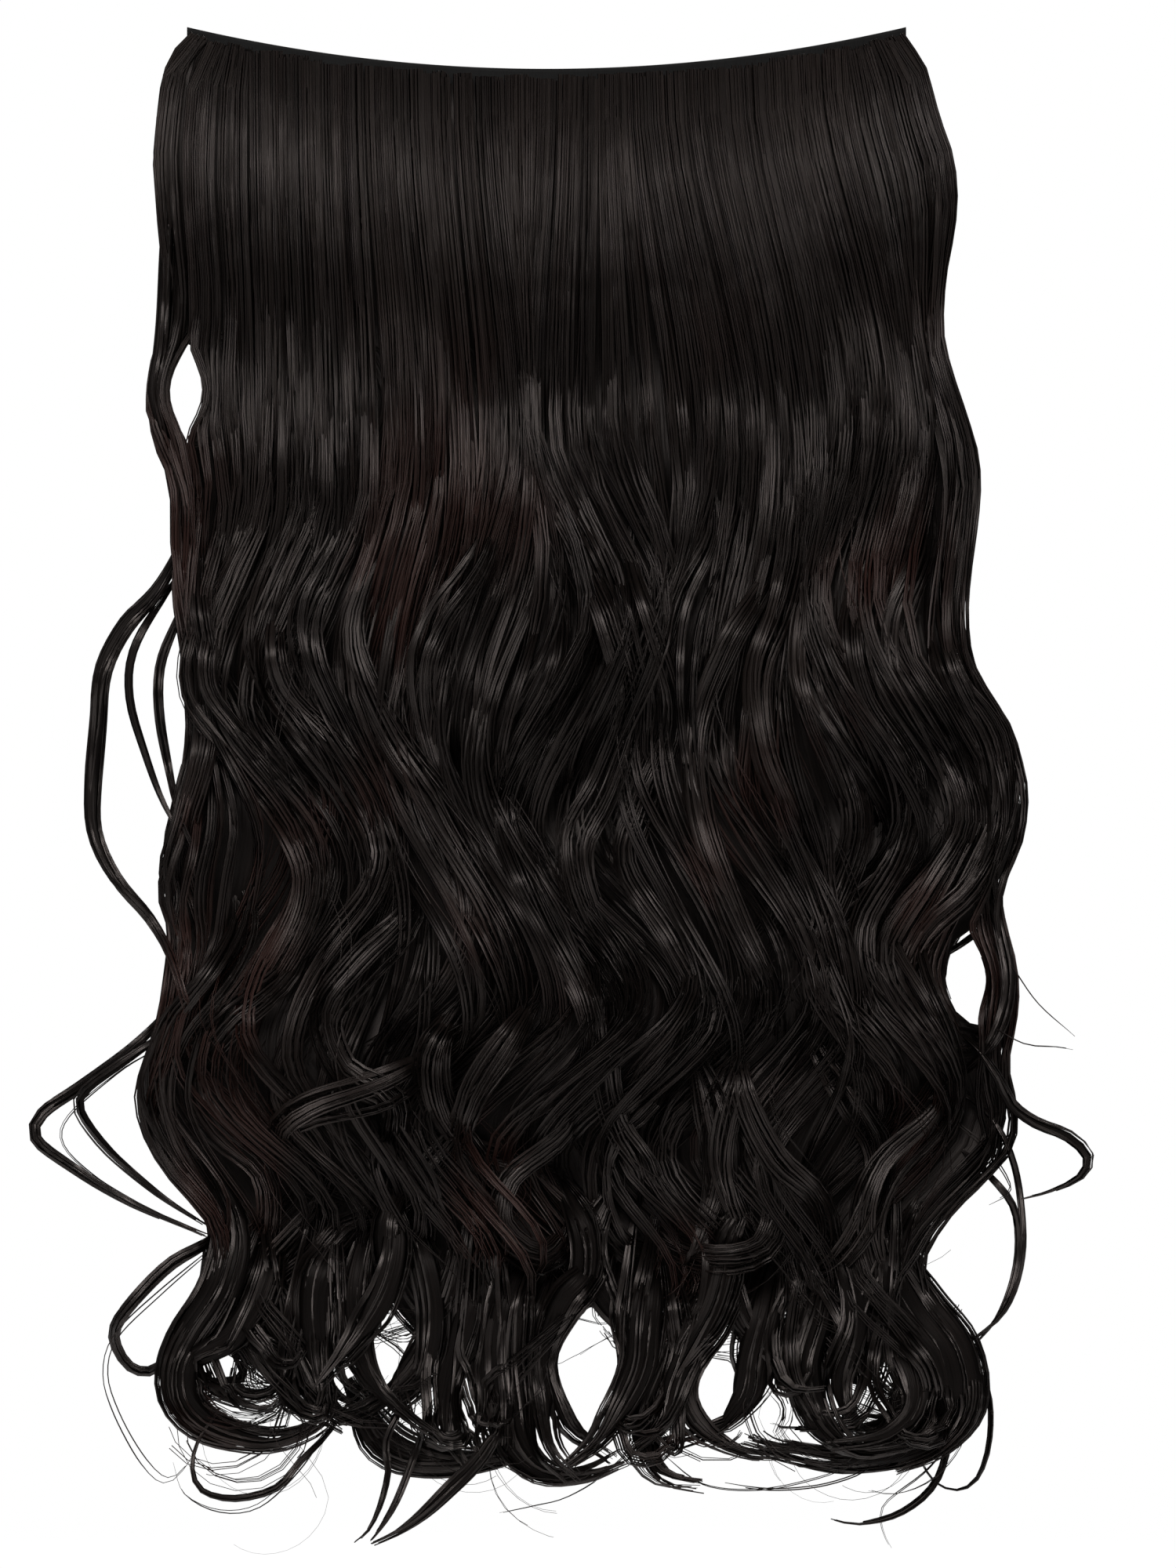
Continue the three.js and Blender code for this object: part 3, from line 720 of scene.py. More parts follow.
def wave_bends(lock, root, facing):
    """The turns of a waved lock, from its root on the band to the last one above its curl."""
    wave, made, tip = lock[:3]
    side, turns = WAVES[wave]
    bends = [(ROOT_DROP[facing], root)]
    for drop in turns[:made]:
        belly = math.sin(math.pi * min(max((drop - BELLY_TOP) / (BELLY_BOTTOM - BELLY_TOP), 0.0), 1.0))
        fanned = root * (1.0 + FAN_SHARE * float(smooth_step(drop, 0.0, FAN_BELOW)) + BELLY_SHARE * belly)
        hangs_at = mix(fanned, tip, float(smooth_step(drop, FAN_BELOW, turns[-1]))) + BELLY_LEAN * belly
        bends.append((drop, hangs_at + side * swing_at(drop, drop - bends[-1][0])))
        side = -side
    return bends


class Lock:
    """One lock as seen from the front: where it hangs at any drop, and the curl that it ends in."""

    def __init__(self, bends, curl, sweep):
        self.bends, self.curl, self.sweep = np.array(bends, float), curl, sweep
        self.root = self.bends[0, 1]
        self.middles = (self.bends[1:] + self.bends[:-1]) / 2.0

    def turn_at(self, drop):
        """The number of the last bend passed, with the share of the way to the next one."""
        return np.interp(drop, self.bends[:, 0], np.arange(len(self.bends)))

    def side(self, drop):
        turn = self.turn_at(drop)
        before = np.minimum(turn.astype(int), len(self.bends) - 2)
        eased = (1.0 - np.cos(np.pi * (turn - before))) / 2.0
        return mix(self.bends[before, 1], self.bends[before + 1, 1], eased)

    def middle(self, drop):
        """The line that the waves swing about."""
        return np.interp(drop, self.middles[:, 0], self.middles[:, 1])

    def roll(self, drop):
        return np.sin(np.pi * self.turn_at(drop))

    def towards(self, turns):
        """The side that the curl after that many turns rolls to."""
        return math.copysign(1.0, self.bends[turns - 1, 1] - self.bends[turns, 1])


class Edge(Lock):
    """A lock along the edge of a row, which runs smoothly through all its places."""

    def __init__(self, bends, curl, sweep):
        super().__init__(bends, curl, sweep)
        self.across, self.down = smooth_line(self.bends[:, ::-1], 3.0)

    def side(self, drop):
        return np.interp(drop, self.down, self.across)

    middle = side

    def roll(self, drop):
        return np.sin(2.0 * np.pi * np.asarray(drop) / ROLL_PITCH)


class Line:
    """A wisp in space: its centre line, the ways across and behind it, and its length so far."""

    def __init__(self, facing, side, drop, depth, slip=0.0):
        self.facing = facing
        side, drop = parted(side, drop)
        self.centre = np.stack([side, ROWS_PART_AT + facing * depth, -drop], axis=1)
        self.centre[:, 1] -= ripple(side, drop, slip)
        along = np.gradient(self.centre, axis=0)
        along /= np.linalg.norm(along, axis=1, keepdims=True)
        self.along = along
        back = np.array([0.0, 1.0, 0.0]) - along * along[:, 1:2]
        self.back = back / np.linalg.norm(back, axis=1, keepdims=True)
        self.across = np.cross(along, self.back)
        step = np.linalg.norm(np.diff(self.centre, axis=0), axis=1)
        self.run = np.concatenate([[0.0], np.cumsum(step)])
        self.share = self.run / self.run[-1]
        heading = np.unwrap(np.arctan2(along[:, 0], -along[:, 2]))
        self.bend = np.clip(np.gradient(heading, self.run) * BEND_LEAN, -MOST_LEAN, MOST_LEAN)

    def guide(self, hue, phase, wide, thick, girth, lean=0.0, fold=1.0, twist=TWIST):
        """
        What strands follow at each point: the wisp's half sizes as vectors, the share of full width that
        strands have there, the way that the wisp faces, and how far it folds over. It is turned to one side
        by the lean, faces away from the inside of each bend, and twists as it goes.
        """
        turn = (lean - self.bend * fold)[:, None]
        tilt = fold * twist * np.sin(2.0 * np.pi * (self.run / TWIST_PITCH + phase))
        tilt = tilt + np.interp(-self.centre[:, 2], *zip(*FACES_UP))
        swell = swelled(self.centre[:, 0], -self.centre[:, 2])
        return {
            "place": drape(self.centre) * MM,
            "across": self.across * wide[:, None] * MM,
            "outward": self.back * thick[:, None] * MM,
            "face": (
                self.facing * self.back * np.cos(turn) + self.across * np.sin(turn)
                - self.along * tilt[:, None] + swell[:, None] * np.array([0.0, 0.0, 1.0])
            ),
            "girth": girth,
            "fold": fold * np.ones(len(self.share)),
            "hue": np.full(len(self.share), hue),
            "run": self.run * MM,
        }


def swelled(side, drop):
    """How far hair faces up along a line where it swells, or down where it falls away."""
    share = np.zeros(len(side))
    for place, level, half_width, half_height, more in SWELLS:
        reach = np.hypot((side - place) / half_width, (drop - level) / half_height)
        share = share + more * (1.0 - smooth_step(reach, 0.5, 1.5))
    return share


def drops_to(end, root, spacing=7.0, straight_steps=7):
    """Drops from a root to the end of the waves, few above the first wave and even below it."""
    straight = np.linspace(root, FIRST_WAVE, straight_steps)[:-1]
    waved = np.linspace(FIRST_WAVE, end, max(3, math.ceil((end - FIRST_WAVE) / spacing)))
    return np.concatenate([straight, waved])


def with_curl(side, drop, curl, sweep, towards, step):
    """Adds the end curl below the last turn of a line."""
    turned = np.radians(np.linspace(0.0, sweep, max(3, math.ceil(sweep / step)))[1:])
    radius = curl * (1.0 - 0.25 * turned / turned[-1])
    side = np.concatenate([side, side[-1] + towards * (curl - radius * np.cos(turned))])
    drop = np.concatenate([drop, drop[-1] + radius * np.sin(turned)])
    return side, drop


def row_thickness(drop):
    return mix(ROOT_THICK, FULL_THICK, smooth_step(drop, 0.0, THICK_BELOW))


def row_depth(drop, outward, roll):
    """Depth from the plane between the rows; outward is 1 on the row's outer face and -1 on its inner one."""
    pinched = mix(DEPTH_ON_BAND, DEPTH_BELOW_BAND, smooth_step(drop, -6.0, 7.0))
    root_depth = mix(pinched, LEAST_DEPTH, smooth_step(drop, 8.0, 48.0))
    roll_size = mix(ROLL_TOP, ROLL_BOTTOM, np.clip(drop / ROLL_BELOW, 0.0, 1.0))
    roll_size = smooth_step(drop, 20.0, 140.0) * roll_size
    return root_depth + row_thickness(drop) * (1.0 + outward) + roll_size * (1.0 + roll)


class Curtain:
    """A row of hair as locks side by side, with hair hanging between them as well as in them."""

    def __init__(self, facing):
        self.facing = facing
        self.root_drop = ROOT_DROP[facing]
        self.band_width = bpy.context.scene.hair_band.width / MM
        table = FRONT_LOCKS if facing == FRONT else BACK_LOCKS
        room = EDGE_ROOM[facing]
        self.pitch = (self.band_width - 2.0 * room) / len(table)
        roots = (np.arange(len(table)) + 0.5) * self.pitch - self.band_width / 2.0 + room
        self.locks = [
            Lock(wave_bends(lock, root, facing), lock[3], lock[4])
            for lock, root in zip(table, roots)
        ]
        self.edges = [
            Edge([(self.root_drop, root), *bends], curl, sweep)
            for root, curl, sweep, bends in EDGE_LOCKS
        ]
        if facing == FRONT:
            self.locks = [self.edges[0], *self.locks, self.edges[1]]
        self.roots = np.array([lock.root for lock in self.locks])

    def between(self, root):
        """The locks beside a root, its share of the way between them, and its reach past the end."""
        first = int(np.clip(np.searchsorted(self.roots, root) - 1, 0, len(self.locks) - 2))
        share = (root - self.roots[first]) / (self.roots[first + 1] - self.roots[first])
        inside = float(np.clip(share, 0.0, 1.0))
        past = root - mix(self.roots[first], self.roots[first + 1], inside)
        return self.locks[first], self.locks[first + 1], inside, past

    def nearest(self, root):
        first, second, share, _ = self.between(root)
        return second if round(share) else first

    def hang(self, root, drop, slide, pull, chance, free=False):
        """Where hair hangs: the pull draws it to the nearest lock, and only free hair passes the edges."""
        first, second, share, past = self.between(root)
        weight = mix(share, round(share), pull)
        at = drop + slide * smooth_step(drop, 60.0, 200.0)
        middle = mix(first.middle(at), second.middle(at), weight)
        swing = mix(first.side(at), second.side(at), weight) - middle
        lateral = chance.uniform(-1.0, 1.0) * self.pitch * WIDTH_OF_PITCH * pull
        larger = mix(1.0, chance.uniform(0.8, 1.25), smooth_step(drop, 60.0, 250.0))
        side = middle + swing * larger + lateral + past
        if free:
            return side
        within = 5.0 * chance.random() ** 1.6 + WITHIN_EDGE[self.facing]
        return np.clip(side, self.edges[0].side(drop) + within, self.edges[1].side(drop) - within)

    def snug(self, root):
        """Wisps are narrower towards the ends of the band."""
        return mix(1.0, 0.4, float(smooth_step(abs(root), 110.0, 125.0)))

    def guide(self, line, root, drop, chance, wide, thick, girth):
        """The guide of a wisp that is turned and twists much as its neighbours do."""
        hue = chance.random()
        phase = root / 55.0 + 0.4 * math.sin(root / 13.0) + chance.normal(0.0, 0.07)
        lean = 0.38 * math.sin(root / 6.2 + 1.3) + chance.normal(0.0, 0.1)
        fold = smooth_step(drop, *FOLDS)
        return line.guide(hue, phase, wide, thick, girth, lean * fold, fold)

    def wisp(self, root, chance, loose=1.0):
        """One wisp from the band to the end curl of the lock nearest to it."""
        own = self.nearest(root)
        turns = len(own.bends) - 1
        slide = chance.normal(0.0, SLIDE * loose)
        end = own.bends[turns, 0] - slide
        at_edge = abs(root) > 0.8 * self.band_width / 2.0
        top = self.root_drop - chance.uniform(0.0, SEWN_UP)
        drop = drops_to(end, top, POINT_SPACING[self.facing], 17 if at_edge else 7)
        pull = chance.uniform(*GATHERED[self.facing]) * smooth_step(drop, *GATHERS)
        side = self.hang(root, drop, slide, pull, chance, loose > 1.0)
        curl = own.curl * chance.uniform(0.82, 1.12)
        sweep = own.sweep * chance.uniform(0.8, 1.3)
        side, drop = with_curl(side, drop, curl, sweep, own.towards(turns), 21.0 if loose <= 1.0 else 11.0)
        side, drop = finer_near_gaps(side, drop)
        roll = np.where(drop <= end, own.roll(drop + slide), 0.0)
        outward = 1.0 - 1.5 * chance.random() ** 1.7
        slip = slide + chance.normal(0.0, SLIDE)
        line = Line(self.facing, side, drop, row_depth(drop, outward, roll), slip)
        wide = mix(*WISP_WIDE, line.share) * chance.uniform(*UNLIKE) * self.snug(root)
        thick = mix(*WISP_THICK, smooth_step(line.share, 0.0, 0.3)) * chance.uniform(0.8, 1.2)
        girth = 1.0 - 0.6 * smooth_step(line.share, 0.6, 1.0)
        return self.guide(line, root, drop, chance, wide, thick, girth)

    def short_wisp(self, root, chance, top, bottom, points):
        """A wisp whose lower end goes in among the rest, as its upper end does unless that is on the band."""
        drop = np.linspace(top, bottom, points)
        own = self.nearest(root)
        slide = chance.normal(0.0, SHORT_SLIDE)
        pull = chance.uniform(0.0, 0.6) * smooth_step(drop, *GATHERS)
        side = self.hang(root, drop, slide, pull, chance)
        side, drop = finer_near_gaps(side, drop)
        ends = (drop - top) / 40.0 + (1.0 if top <= self.root_drop else 0.0)
        shown = smooth_step(np.minimum(ends, (bottom - drop) / 50.0), 0.0, 1.0)
        outward = mix(-1.0, 1.0 - 0.8 * chance.random() ** 2.0, shown)
        roll = mix(-1.0, own.roll(drop + slide) * smooth_step(drop, FIRST_WAVE, 180.0), shown)
        slip = slide + chance.normal(0.0, SHORT_SLIP)
        line = Line(self.facing, side, drop, row_depth(drop, outward, roll), slip)
        wide = np.full(len(drop), SHORT_WIDE * chance.uniform(*UNLIKE) * self.snug(root))
        thick = mix(*SHORT_THICK, smooth_step(drop, 0.0, 100.0))
        girth = mix(0.35, 1.0, shown)
        return self.guide(line, root, drop, chance, wide, thick, girth)

    def upper_wisp(self, root, chance):
        top = self.root_drop - chance.uniform(0.0, SEWN_UP)
        return self.short_wisp(root, chance, top, chance.uniform(*UPPER_ENDS), points=16)

    def lower_wisp(self, root, chance):
        top = chance.uniform(*LOWER_STARTS)
        bottom = min(top + chance.uniform(*LOWER_LENGTHS), LOWEST_END)
        return self.short_wisp(root, chance, top, bottom, points=25)

    def roots_for(self, count, chance):
        """Roots along the band, closer together towards its ends."""
        even = 2.0 * (np.arange(count) + chance.uniform(0.2, 0.8, count)) / count - 1.0
        return (self.band_width / 2.0 - 1.5) * (0.6 * even + 0.4 * np.sin(np.pi / 2.0 * even))

    def lower_wisps(self, count, lines, chance):
        """Wisps that are laid, one after the other, where the hair is thinnest."""
        cells = np.zeros(CELLS)

        def covered(line):
            cell = np.rint((line["place"][3:-3, ::2] + CELL_OFFSET) / CELL_SIZE).astype(int)
            spread = np.clip(cell[:, None] + ((-1, 0), (0, 0), (1, 0)), 0, CELLS - 1)
            return tuple(np.unique(spread.reshape(-1, 2), axis=0).T)

        def thinness(line):
            return np.mean((1.0 + cells[covered(line)]) ** -2.0)

        for line in lines:
            cells[covered(line)] += 1.0
        found = []
        for _ in range(count):
            roots = self.roots_above(LOWER_SPREAD_AT, LOWER_TRIES, chance)
            tries = [self.lower_wisp(root, chance) for root in roots]
            found.append(max(tries, key=thinness))
            cells[covered(found[-1])] += 1.0
        return found

    def roots_above(self, drop, count, chance):
        """Roots of hair that hangs evenly spaced at a drop."""
        places = np.maximum.accumulate([float(lock.middle(np.array(drop))) for lock in self.locks])
        past = PAST_LOCKS[self.facing]
        places = np.array([places[0] - past - 0.1, *places, places[-1] + past + 0.1])
        roots = np.array([self.roots[0] - past, *self.roots, self.roots[-1] + past])
        even = (np.arange(count) + chance.uniform(0.0, 1.0, count)) / count
        return np.interp(mix(places[0], places[-1], even), places, roots)


def smooth_line(places, spacing):
    """Even steps along a smooth line through a few places, as the place across and the drop of each."""
    places = np.array(places, float)
    run = np.concatenate([[2.0 * places[0] - places[1]], places, [2.0 * places[-1] - places[-2]]])
    found = []
    for before, start, end, after in zip(run, run[1:], run[2:], run[3:]):
        steps = max(2, round(np.linalg.norm(end - start) / spacing))
        share = np.arange(steps)[:, None] / steps
        bend = (2.0 * before - 5.0 * start + 4.0 * end - after) * share**2
        twist = (3.0 * start - before - 3.0 * end + after) * share**3
        found.append(start + 0.5 * ((end - before) * share + bend + twist))
    return np.concatenate([*found, places[-1:]]).T


class TracedLock:
    """One lock of the tables: a flat bundle of wisps over the front row. Unless free, its end goes in."""

    def __init__(self, row, chance, free, spacing):
        self.half_width, self.count, places = row
        self.side, self.drop = finer_near_gaps(*smooth_line(places, spacing))
        heading = np.stack([np.gradient(self.side), np.gradient(self.drop)])
        self.heading = heading / np.hypot(*heading)
        self.share = np.linspace(0.0, 1.0, len(self.side))
        goes_in = 0.0 if free else smooth_step(self.share, 0.72, 1.0)
        self.out = smooth_step(self.share, 0.0, 0.25) * (1.0 - goes_in)
        self.spread = self.half_width * mix(1.0, 0.3 if free else 0.8, smooth_step(self.share, 0.5, 1.0))
        self.spread = self.spread * mix(0.4, 1.0, smooth_step(self.share, 0.0, 0.3))
        self.hand = chance.choice((-0.8, 0.8))
        self.layer = chance.uniform(1.6, 2.1)
        self.slip = chance.normal(0.0, 8.0)
        self.hue = chance.random()

    def line(self, place, strays=(0.0, 0.0)):
        """The centre line of the wisp at a place across the lock, from -1 to 1."""
        shift = place * self.spread
        across = self.side + self.heading[1] * shift + strays[0]
        down = self.drop - self.heading[0] * shift + strays[1]
        outward = -1.0 + (self.layer + 0.35 * (1.0 - place * place)) * self.out
        roll = mix(-1.0, self.hand * self.heading[0], self.out)
        return Line(FRONT, across, down, row_depth(down, outward, roll), self.slip)

    def wisps(self, chance):
        found = []
        ends = np.minimum(smooth_step(self.share, 0.0, 0.12), 1.0 - smooth_step(self.share, 0.7, 1.05))
        girth = mix(0.3, 1.0, ends)
        for number in range(self.count):
            place = 2.0 * (number + chance.uniform(0.25, 0.75)) / self.count - 1.0
            waves = np.sin(np.pi * self.share * chance.uniform(1.0, 2.5))
            strays = chance.normal(0.0, 0.18 * self.half_width, 2)[:, None] * waves
            wide = 1.35 * self.spread / self.count
            line = self.line(place, strays)
            thick = np.minimum(wide, 1.7)
            lean = 0.9 * place
            guide = line.guide(self.hue, 7.0 * self.hue, wide, thick, girth, lean, twist=TWIST_OF_LOCKS)
            found.append(guide)
        return found

    def core(self):
        """Rings of points of the solid inside of the lock, and the way that each point is combed."""
        line = self.line(0.0)
        turn = np.radians(np.arange(0.0, 360.0, 45.0))[None, :, None]
        taper = (1.0 - 0.92 * smooth_step(self.share, 0.55, 0.97)) * smooth_step(self.share, -0.3, 0.2)
        wide = (0.76 * self.spread * taper)[:, None, None]
        thick = np.minimum(0.25 * wide, 0.8)
        aside = wide * np.cos(turn)
        behind = line.back[:, None] * thick * np.sin(turn)
        rings = line.centre[:, None] + line.across[:, None] * aside + behind
        combed = np.concatenate([aside, 0.0 * aside + line.run[:, None, None], 0.0 * aside], axis=2)
        return drape(rings) * MM, combed


def tuft_rows(chance):
    """Rows, in the columns of the lock tables, for the small curls that the lower end is bunched in."""
    rows = []
    for place, half_width, lowest, curls in END_TUFTS:
        for middle in place + half_width * chance.uniform(-1.0, 1.0, curls):
            hand, radius = chance.choice((LEFT, RIGHT)), chance.uniform(8.0, 17.0)
            low = lowest - chance.uniform(0.0, 22.0)
            above = low - radius
            places = [(middle + chance.uniform(-12.0, 12.0), chance.uniform(388.0, 420.0))]
            beside = middle - hand * (radius + chance.uniform(-6.0, 6.0))
            places.append((beside, above - chance.uniform(12.0, 22.0)))
            for turned in np.arange(10.0, chance.uniform(150.0, 290.0), 50.0):
                reach, angle = radius * (1.0 - 0.001 * turned), math.radians(turned)
                places.append((middle - hand * reach * math.cos(angle), above + reach * math.sin(angle)))
            least, most = place - half_width, place + half_width
            inside = [(min(max(across, least), most), drop) for across, drop in places]
            rows.append((chance.uniform(2.4, 4.4), 2, inside))
    return rows


def guide_object(name, lines):
    """Wisp lines as one mesh of edges, with what the strand tree reads as attributes."""
    edges, first = [], 0
    for line in lines:
        count = len(line["run"])
        edges.extend((first + i, first + i + 1) for i in range(count - 1))
        first += count
    joined = {label: np.concatenate([line[label] for line in lines]) for label in lines[0]}
    mesh = bpy.data.meshes.new(name)
    mesh.from_pydata(joined.pop("place").tolist(), edges, [])
    for label, values in joined.items():
        vectors = values.ndim == 2
        layer = mesh.attributes.new(label, "FLOAT_VECTOR" if vectors else "FLOAT", "POINT")
        layer.data.foreach_set("vector" if vectors else "value", values.ravel())
    guides = bpy.data.objects.new(name, mesh)
    bpy.context.collection.objects.link(guides)
    return guides


# A strand is a flattened three-sided tube, and a stitch leaves a little of its pitch free.
RING_RADIUS, RING_SHARE, RING_FLATTENED = 0.577, 0.3333, (0.5, 1.0, 1.0)
STITCH_OF_PITCH = 0.82


def tree_inputs(tree, inputs):
    """Adds named inputs to a geometry tree and returns each one's identifier."""
    tree.interface.new_socket("Geometry", in_out="INPUT", socket_type="NodeSocketGeometry")
    tree.interface.new_socket("Geometry", in_out="OUTPUT", socket_type="NodeSocketGeometry")
    kinds = {int: "NodeSocketInt", float: "NodeSocketFloat", bpy.types.Material: "NodeSocketMaterial"}
    names = {}
    for name, kind in inputs.items():
        socket = tree.interface.new_socket(name, in_out="INPUT", socket_type=kinds[kind])
        names[name] = socket.identifier
    return names


def strand_tree():
    """Turns each wisp line into many tapering strands round it."""
    tree = bpy.data.node_groups.new("Strands along wisps", "GeometryNodeTree")
    inputs = {"Strands": int, "Width": float, "Late start": float, "Early end": float, "Roundness": float}
    names = tree_inputs(tree, {**inputs, "Frizz": float, "Seed": int, "Finish": bpy.types.Material})
    graph = Graph(tree)
    given = graph.add("NodeGroupInput")
    index = graph.add("GeometryNodeInputIndex")["Index"]

    def named(name, kind="FLOAT"):
        return graph.add("GeometryNodeInputNamedAttribute", {"data_type": kind}, {"Name": name})["Attribute"]

    def stored(geometry, name, value, kind="FLOAT"):
        settings = {"data_type": kind, "domain": "POINT"}
        return graph.shape("StoreNamedAttribute", settings, Geometry=geometry, Name=name, Value=value)

    def chance(low, high, offset):
        sockets = {"Min": low, "Max": high, "ID": strand, "Seed": given["Seed"] + offset}
        return graph.add("FunctionNodeRandomValue", {"data_type": "FLOAT"}, sockets)["Value"]

    def scaled(vector, by):
        return graph.add("ShaderNodeVectorMath", {"operation": "SCALE"}, {0: vector, "Scale": by})["Vector"]

    def summed(first, second):
        return graph.vector("ADD", first, second)

    wisps = graph.shape("MeshToCurve", output="Curve", Mesh=given["Geometry"])
    settings = {"domain": "SPLINE"}
    many = graph.shape("DuplicateElements", settings, Geometry=wisps, Amount=given["Strands"])
    settings = {"domain": "CURVE", "data_type": "INT"}
    strand = graph.add("GeometryNodeFieldOnDomain", settings, {"Value": index})["Value"]

    run, fold, girth = named("run"), named("fold"), named("girth")
    across, outward, face = [named(name, "FLOAT_VECTOR") for name in ("across", "outward", "face")]
    turn = chance(0.0, 2.0 * math.pi, 1) + run * fold * chance(-15.0, 15.0, 8)
    reach = chance(0.0, 1.0, 2) ** 0.6
    aside = reach * turn.math("COSINE", turn)
    offset = summed(scaled(across, aside), scaled(outward, reach * turn.math("SINE", turn)))
    sockets = {"X": run * 14.0, "Y": strand * 3.7, "Z": given["Seed"] * 1.3}
    where = graph.add("ShaderNodeCombineXYZ", None, sockets)["Vector"]
    wander = graph.add("ShaderNodeTexNoise", None, {"Vector": where, "Scale": 1.0, "Detail": 1.5})["Color"]
    centred = graph.vector("SUBTRACT", wander, (0.5, 0.5, 0.5))
    frizz = scaled(centred, given["Frizz"] * 2.0 * run.step(0.02, 0.2) * chance(0.4, 1.4, 3))
    moved = graph.shape("SetPosition", Geometry=many, Offset=summed(offset, frizz))
    towards = summed(face, scaled(graph.vector("NORMALIZE", across), aside * 0.3 * fold))
    toned = stored(moved, "tone", chance(0.0, 1.0, 4))
    faced = stored(toned, "face", towards, "FLOAT_VECTOR")

    start = chance(0.0, 1.0, 7) * given["Late start"]
    end = 1.0 - chance(0.0, 1.0, 5) ** 2.0 * given["Early end"]
    settings = {"mode": "FACTOR"}
    trimmed = graph.shape("TrimCurve", settings, "Curve", Curve=faced, Start=start, End=end)
    radius = given["Width"] * RING_RADIUS * girth * chance(0.7, 1.25, 6)
    sized = graph.shape("SetCurveRadius", None, "Curve", Curve=trimmed, Radius=radius)
    turned = graph.shape("SetCurveNormal", {"mode": "FREE"}, "Curve", Curve=sized, Normal=face)
    settings = {"mode": "RADIUS"}
    ring = graph.shape("CurvePrimitiveCircle", settings, "Curve", Resolution=3, Radius=1.0)
    marked = stored(ring, "around", index * RING_SHARE)
    flat = graph.shape("Transform", Geometry=marked, Scale=RING_FLATTENED)
    sockets = {"Curve": turned, "Profile_Curve": flat, "Fill_Caps": True}
    size = graph.add("GeometryNodeInputRadius")["Radius"]
    tubes = graph.shape("CurveToMesh", None, "Mesh", Scale=size, **sockets)

    smooth = graph.shape("SetShadeSmooth", Geometry=tubes, Shade_Smooth=True)
    normal = graph.add("GeometryNodeInputNormal")
    side = graph.vector("DOT_PRODUCT", normal["True Normal"], face, output="Value")
    outwards = summed(scaled(face, side.math("SIGN", side)), scaled(normal["Normal"], given["Roundness"]))
    settings = {"mode": "FREE", "domain": "CORNER"}
    shaded = graph.shape("SetMeshNormal", settings, "Mesh", Mesh=smooth, Custom_Normal=outwards)
    whole = graph.shape("RealizeInstances", Geometry=shaded)
    dressed = graph.shape("SetMaterial", Geometry=whole, Material=given["Finish"])
    graph.add("NodeGroupOutput", None, {"Geometry": dressed})
    return tree, names


def stitch_tree():
    """Sets stitches one after the other along lines."""
    tree = bpy.data.node_groups.new("Stitches along lines", "GeometryNodeTree")
    names = tree_inputs(tree, {"Pitch": float, "Width": float, "Finish": bpy.types.Material})
    graph = Graph(tree)
    given = graph.add("NodeGroupInput")
    lines = graph.shape("MeshToCurve", output="Curve", Mesh=given["Geometry"])
    sockets = {"Curve": lines, "Length": given["Pitch"]}
    spots = graph.add("GeometryNodeCurveToPoints", {"mode": "LENGTH"}, sockets)
    sockets = {"X": given["Width"], "Y": given["Width"], "Z": given["Pitch"] * STITCH_OF_PITCH}
    size = graph.add("ShaderNodeCombineXYZ", None, sockets)["Vector"]
    bead = graph.shape("MeshUVSphere", output="Mesh", Segments=8, Rings=5, Radius=0.5)
    sockets = {"Points": spots["Points"], "Instance": bead, "Rotation": spots["Rotation"], "Scale": size}
    sewn = graph.shape("InstanceOnPoints", output="Instances", **sockets)
    whole = graph.shape("RealizeInstances", Geometry=sewn)
    smooth = graph.shape("SetShadeSmooth", Geometry=whole, Shade_Smooth=True)
    dressed = graph.shape("SetMaterial", Geometry=smooth, Material=given["Finish"])
    graph.add("NodeGroupOutput", None, {"Geometry": dressed})
    return tree, names


def grown(name, guides, tree, names, values):
    """The plain mesh that a geometry tree makes from its guides, as a new object; the guides are removed."""
    modifier = guides.modifiers.new("grow", "NODES")
    modifier.node_group = tree
    for label, value in values.items():
        modifier[names[label]] = value
    evaluated = guides.evaluated_get(bpy.context.evaluated_depsgraph_get())
    mesh = bpy.data.meshes.new_from_object(evaluated)
    guides.modifiers.remove(modifier)
    bpy.data.objects.remove(guides)
    mesh.name = name
    piece = bpy.data.objects.new(name, mesh)
    bpy.context.collection.objects.link(piece)
    if not mesh.polygons:
        raise RuntimeError(f"{name} came out empty")
    return piece


def mesh_piece(name, places, faces, finish, smooth=True):
    """A piece from points in metres and faces."""
    mesh = bpy.data.meshes.new(name)
    mesh.from_pydata(np.asarray(places).tolist(), [], faces)
    mesh.materials.append(finish)
    if smooth:
        mesh.shade_smooth()
    mesh.validate()
    piece = bpy.data.objects.new(name, mesh)
    bpy.context.collection.objects.link(piece)
    return piece


def loft_faces(rings, count, first=0, caps=True):
    """Faces of a skin through rings of points, with a cap on each end."""
    faces = []
    for ring in range(rings - 1):
        this, following = first + ring * count, first + (ring + 1) * count
        for point in range(count):
            beside = (point + 1) % count
            faces.append((this + point, this + beside, following + beside, following + point))
    if caps:
        faces.append(tuple(first + i for i in reversed(range(count))))
        faces.append(tuple(first + (rings - 1) * count + i for i in range(count)))
    return faces


def comb(piece, combed):
    """Stores the way that a piece's hair is combed: place across and length so far, in millimetres."""
    layer = piece.data.attributes.new("combed", "FLOAT_VECTOR", "POINT")
    layer.data.foreach_set("vector", combed.ravel())
    return piece


def settle(piece, slot, *nodes):
    """Puts a finished piece on the frame."""
    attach(piece, "root")
    if nodes:
        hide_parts(*nodes)


# The levels of a row's inside, as shares of its height, are closer beside the gaps: from, to, levels.
CORE_LEVELS = ((0.0, 0.2, 6), (0.2, 0.32, 15), (0.32, 0.68, 15), (0.68, 0.8, 15))
LAST_LEVELS = (0.8, 1.0, 10)
CORE_COLUMNS = 60

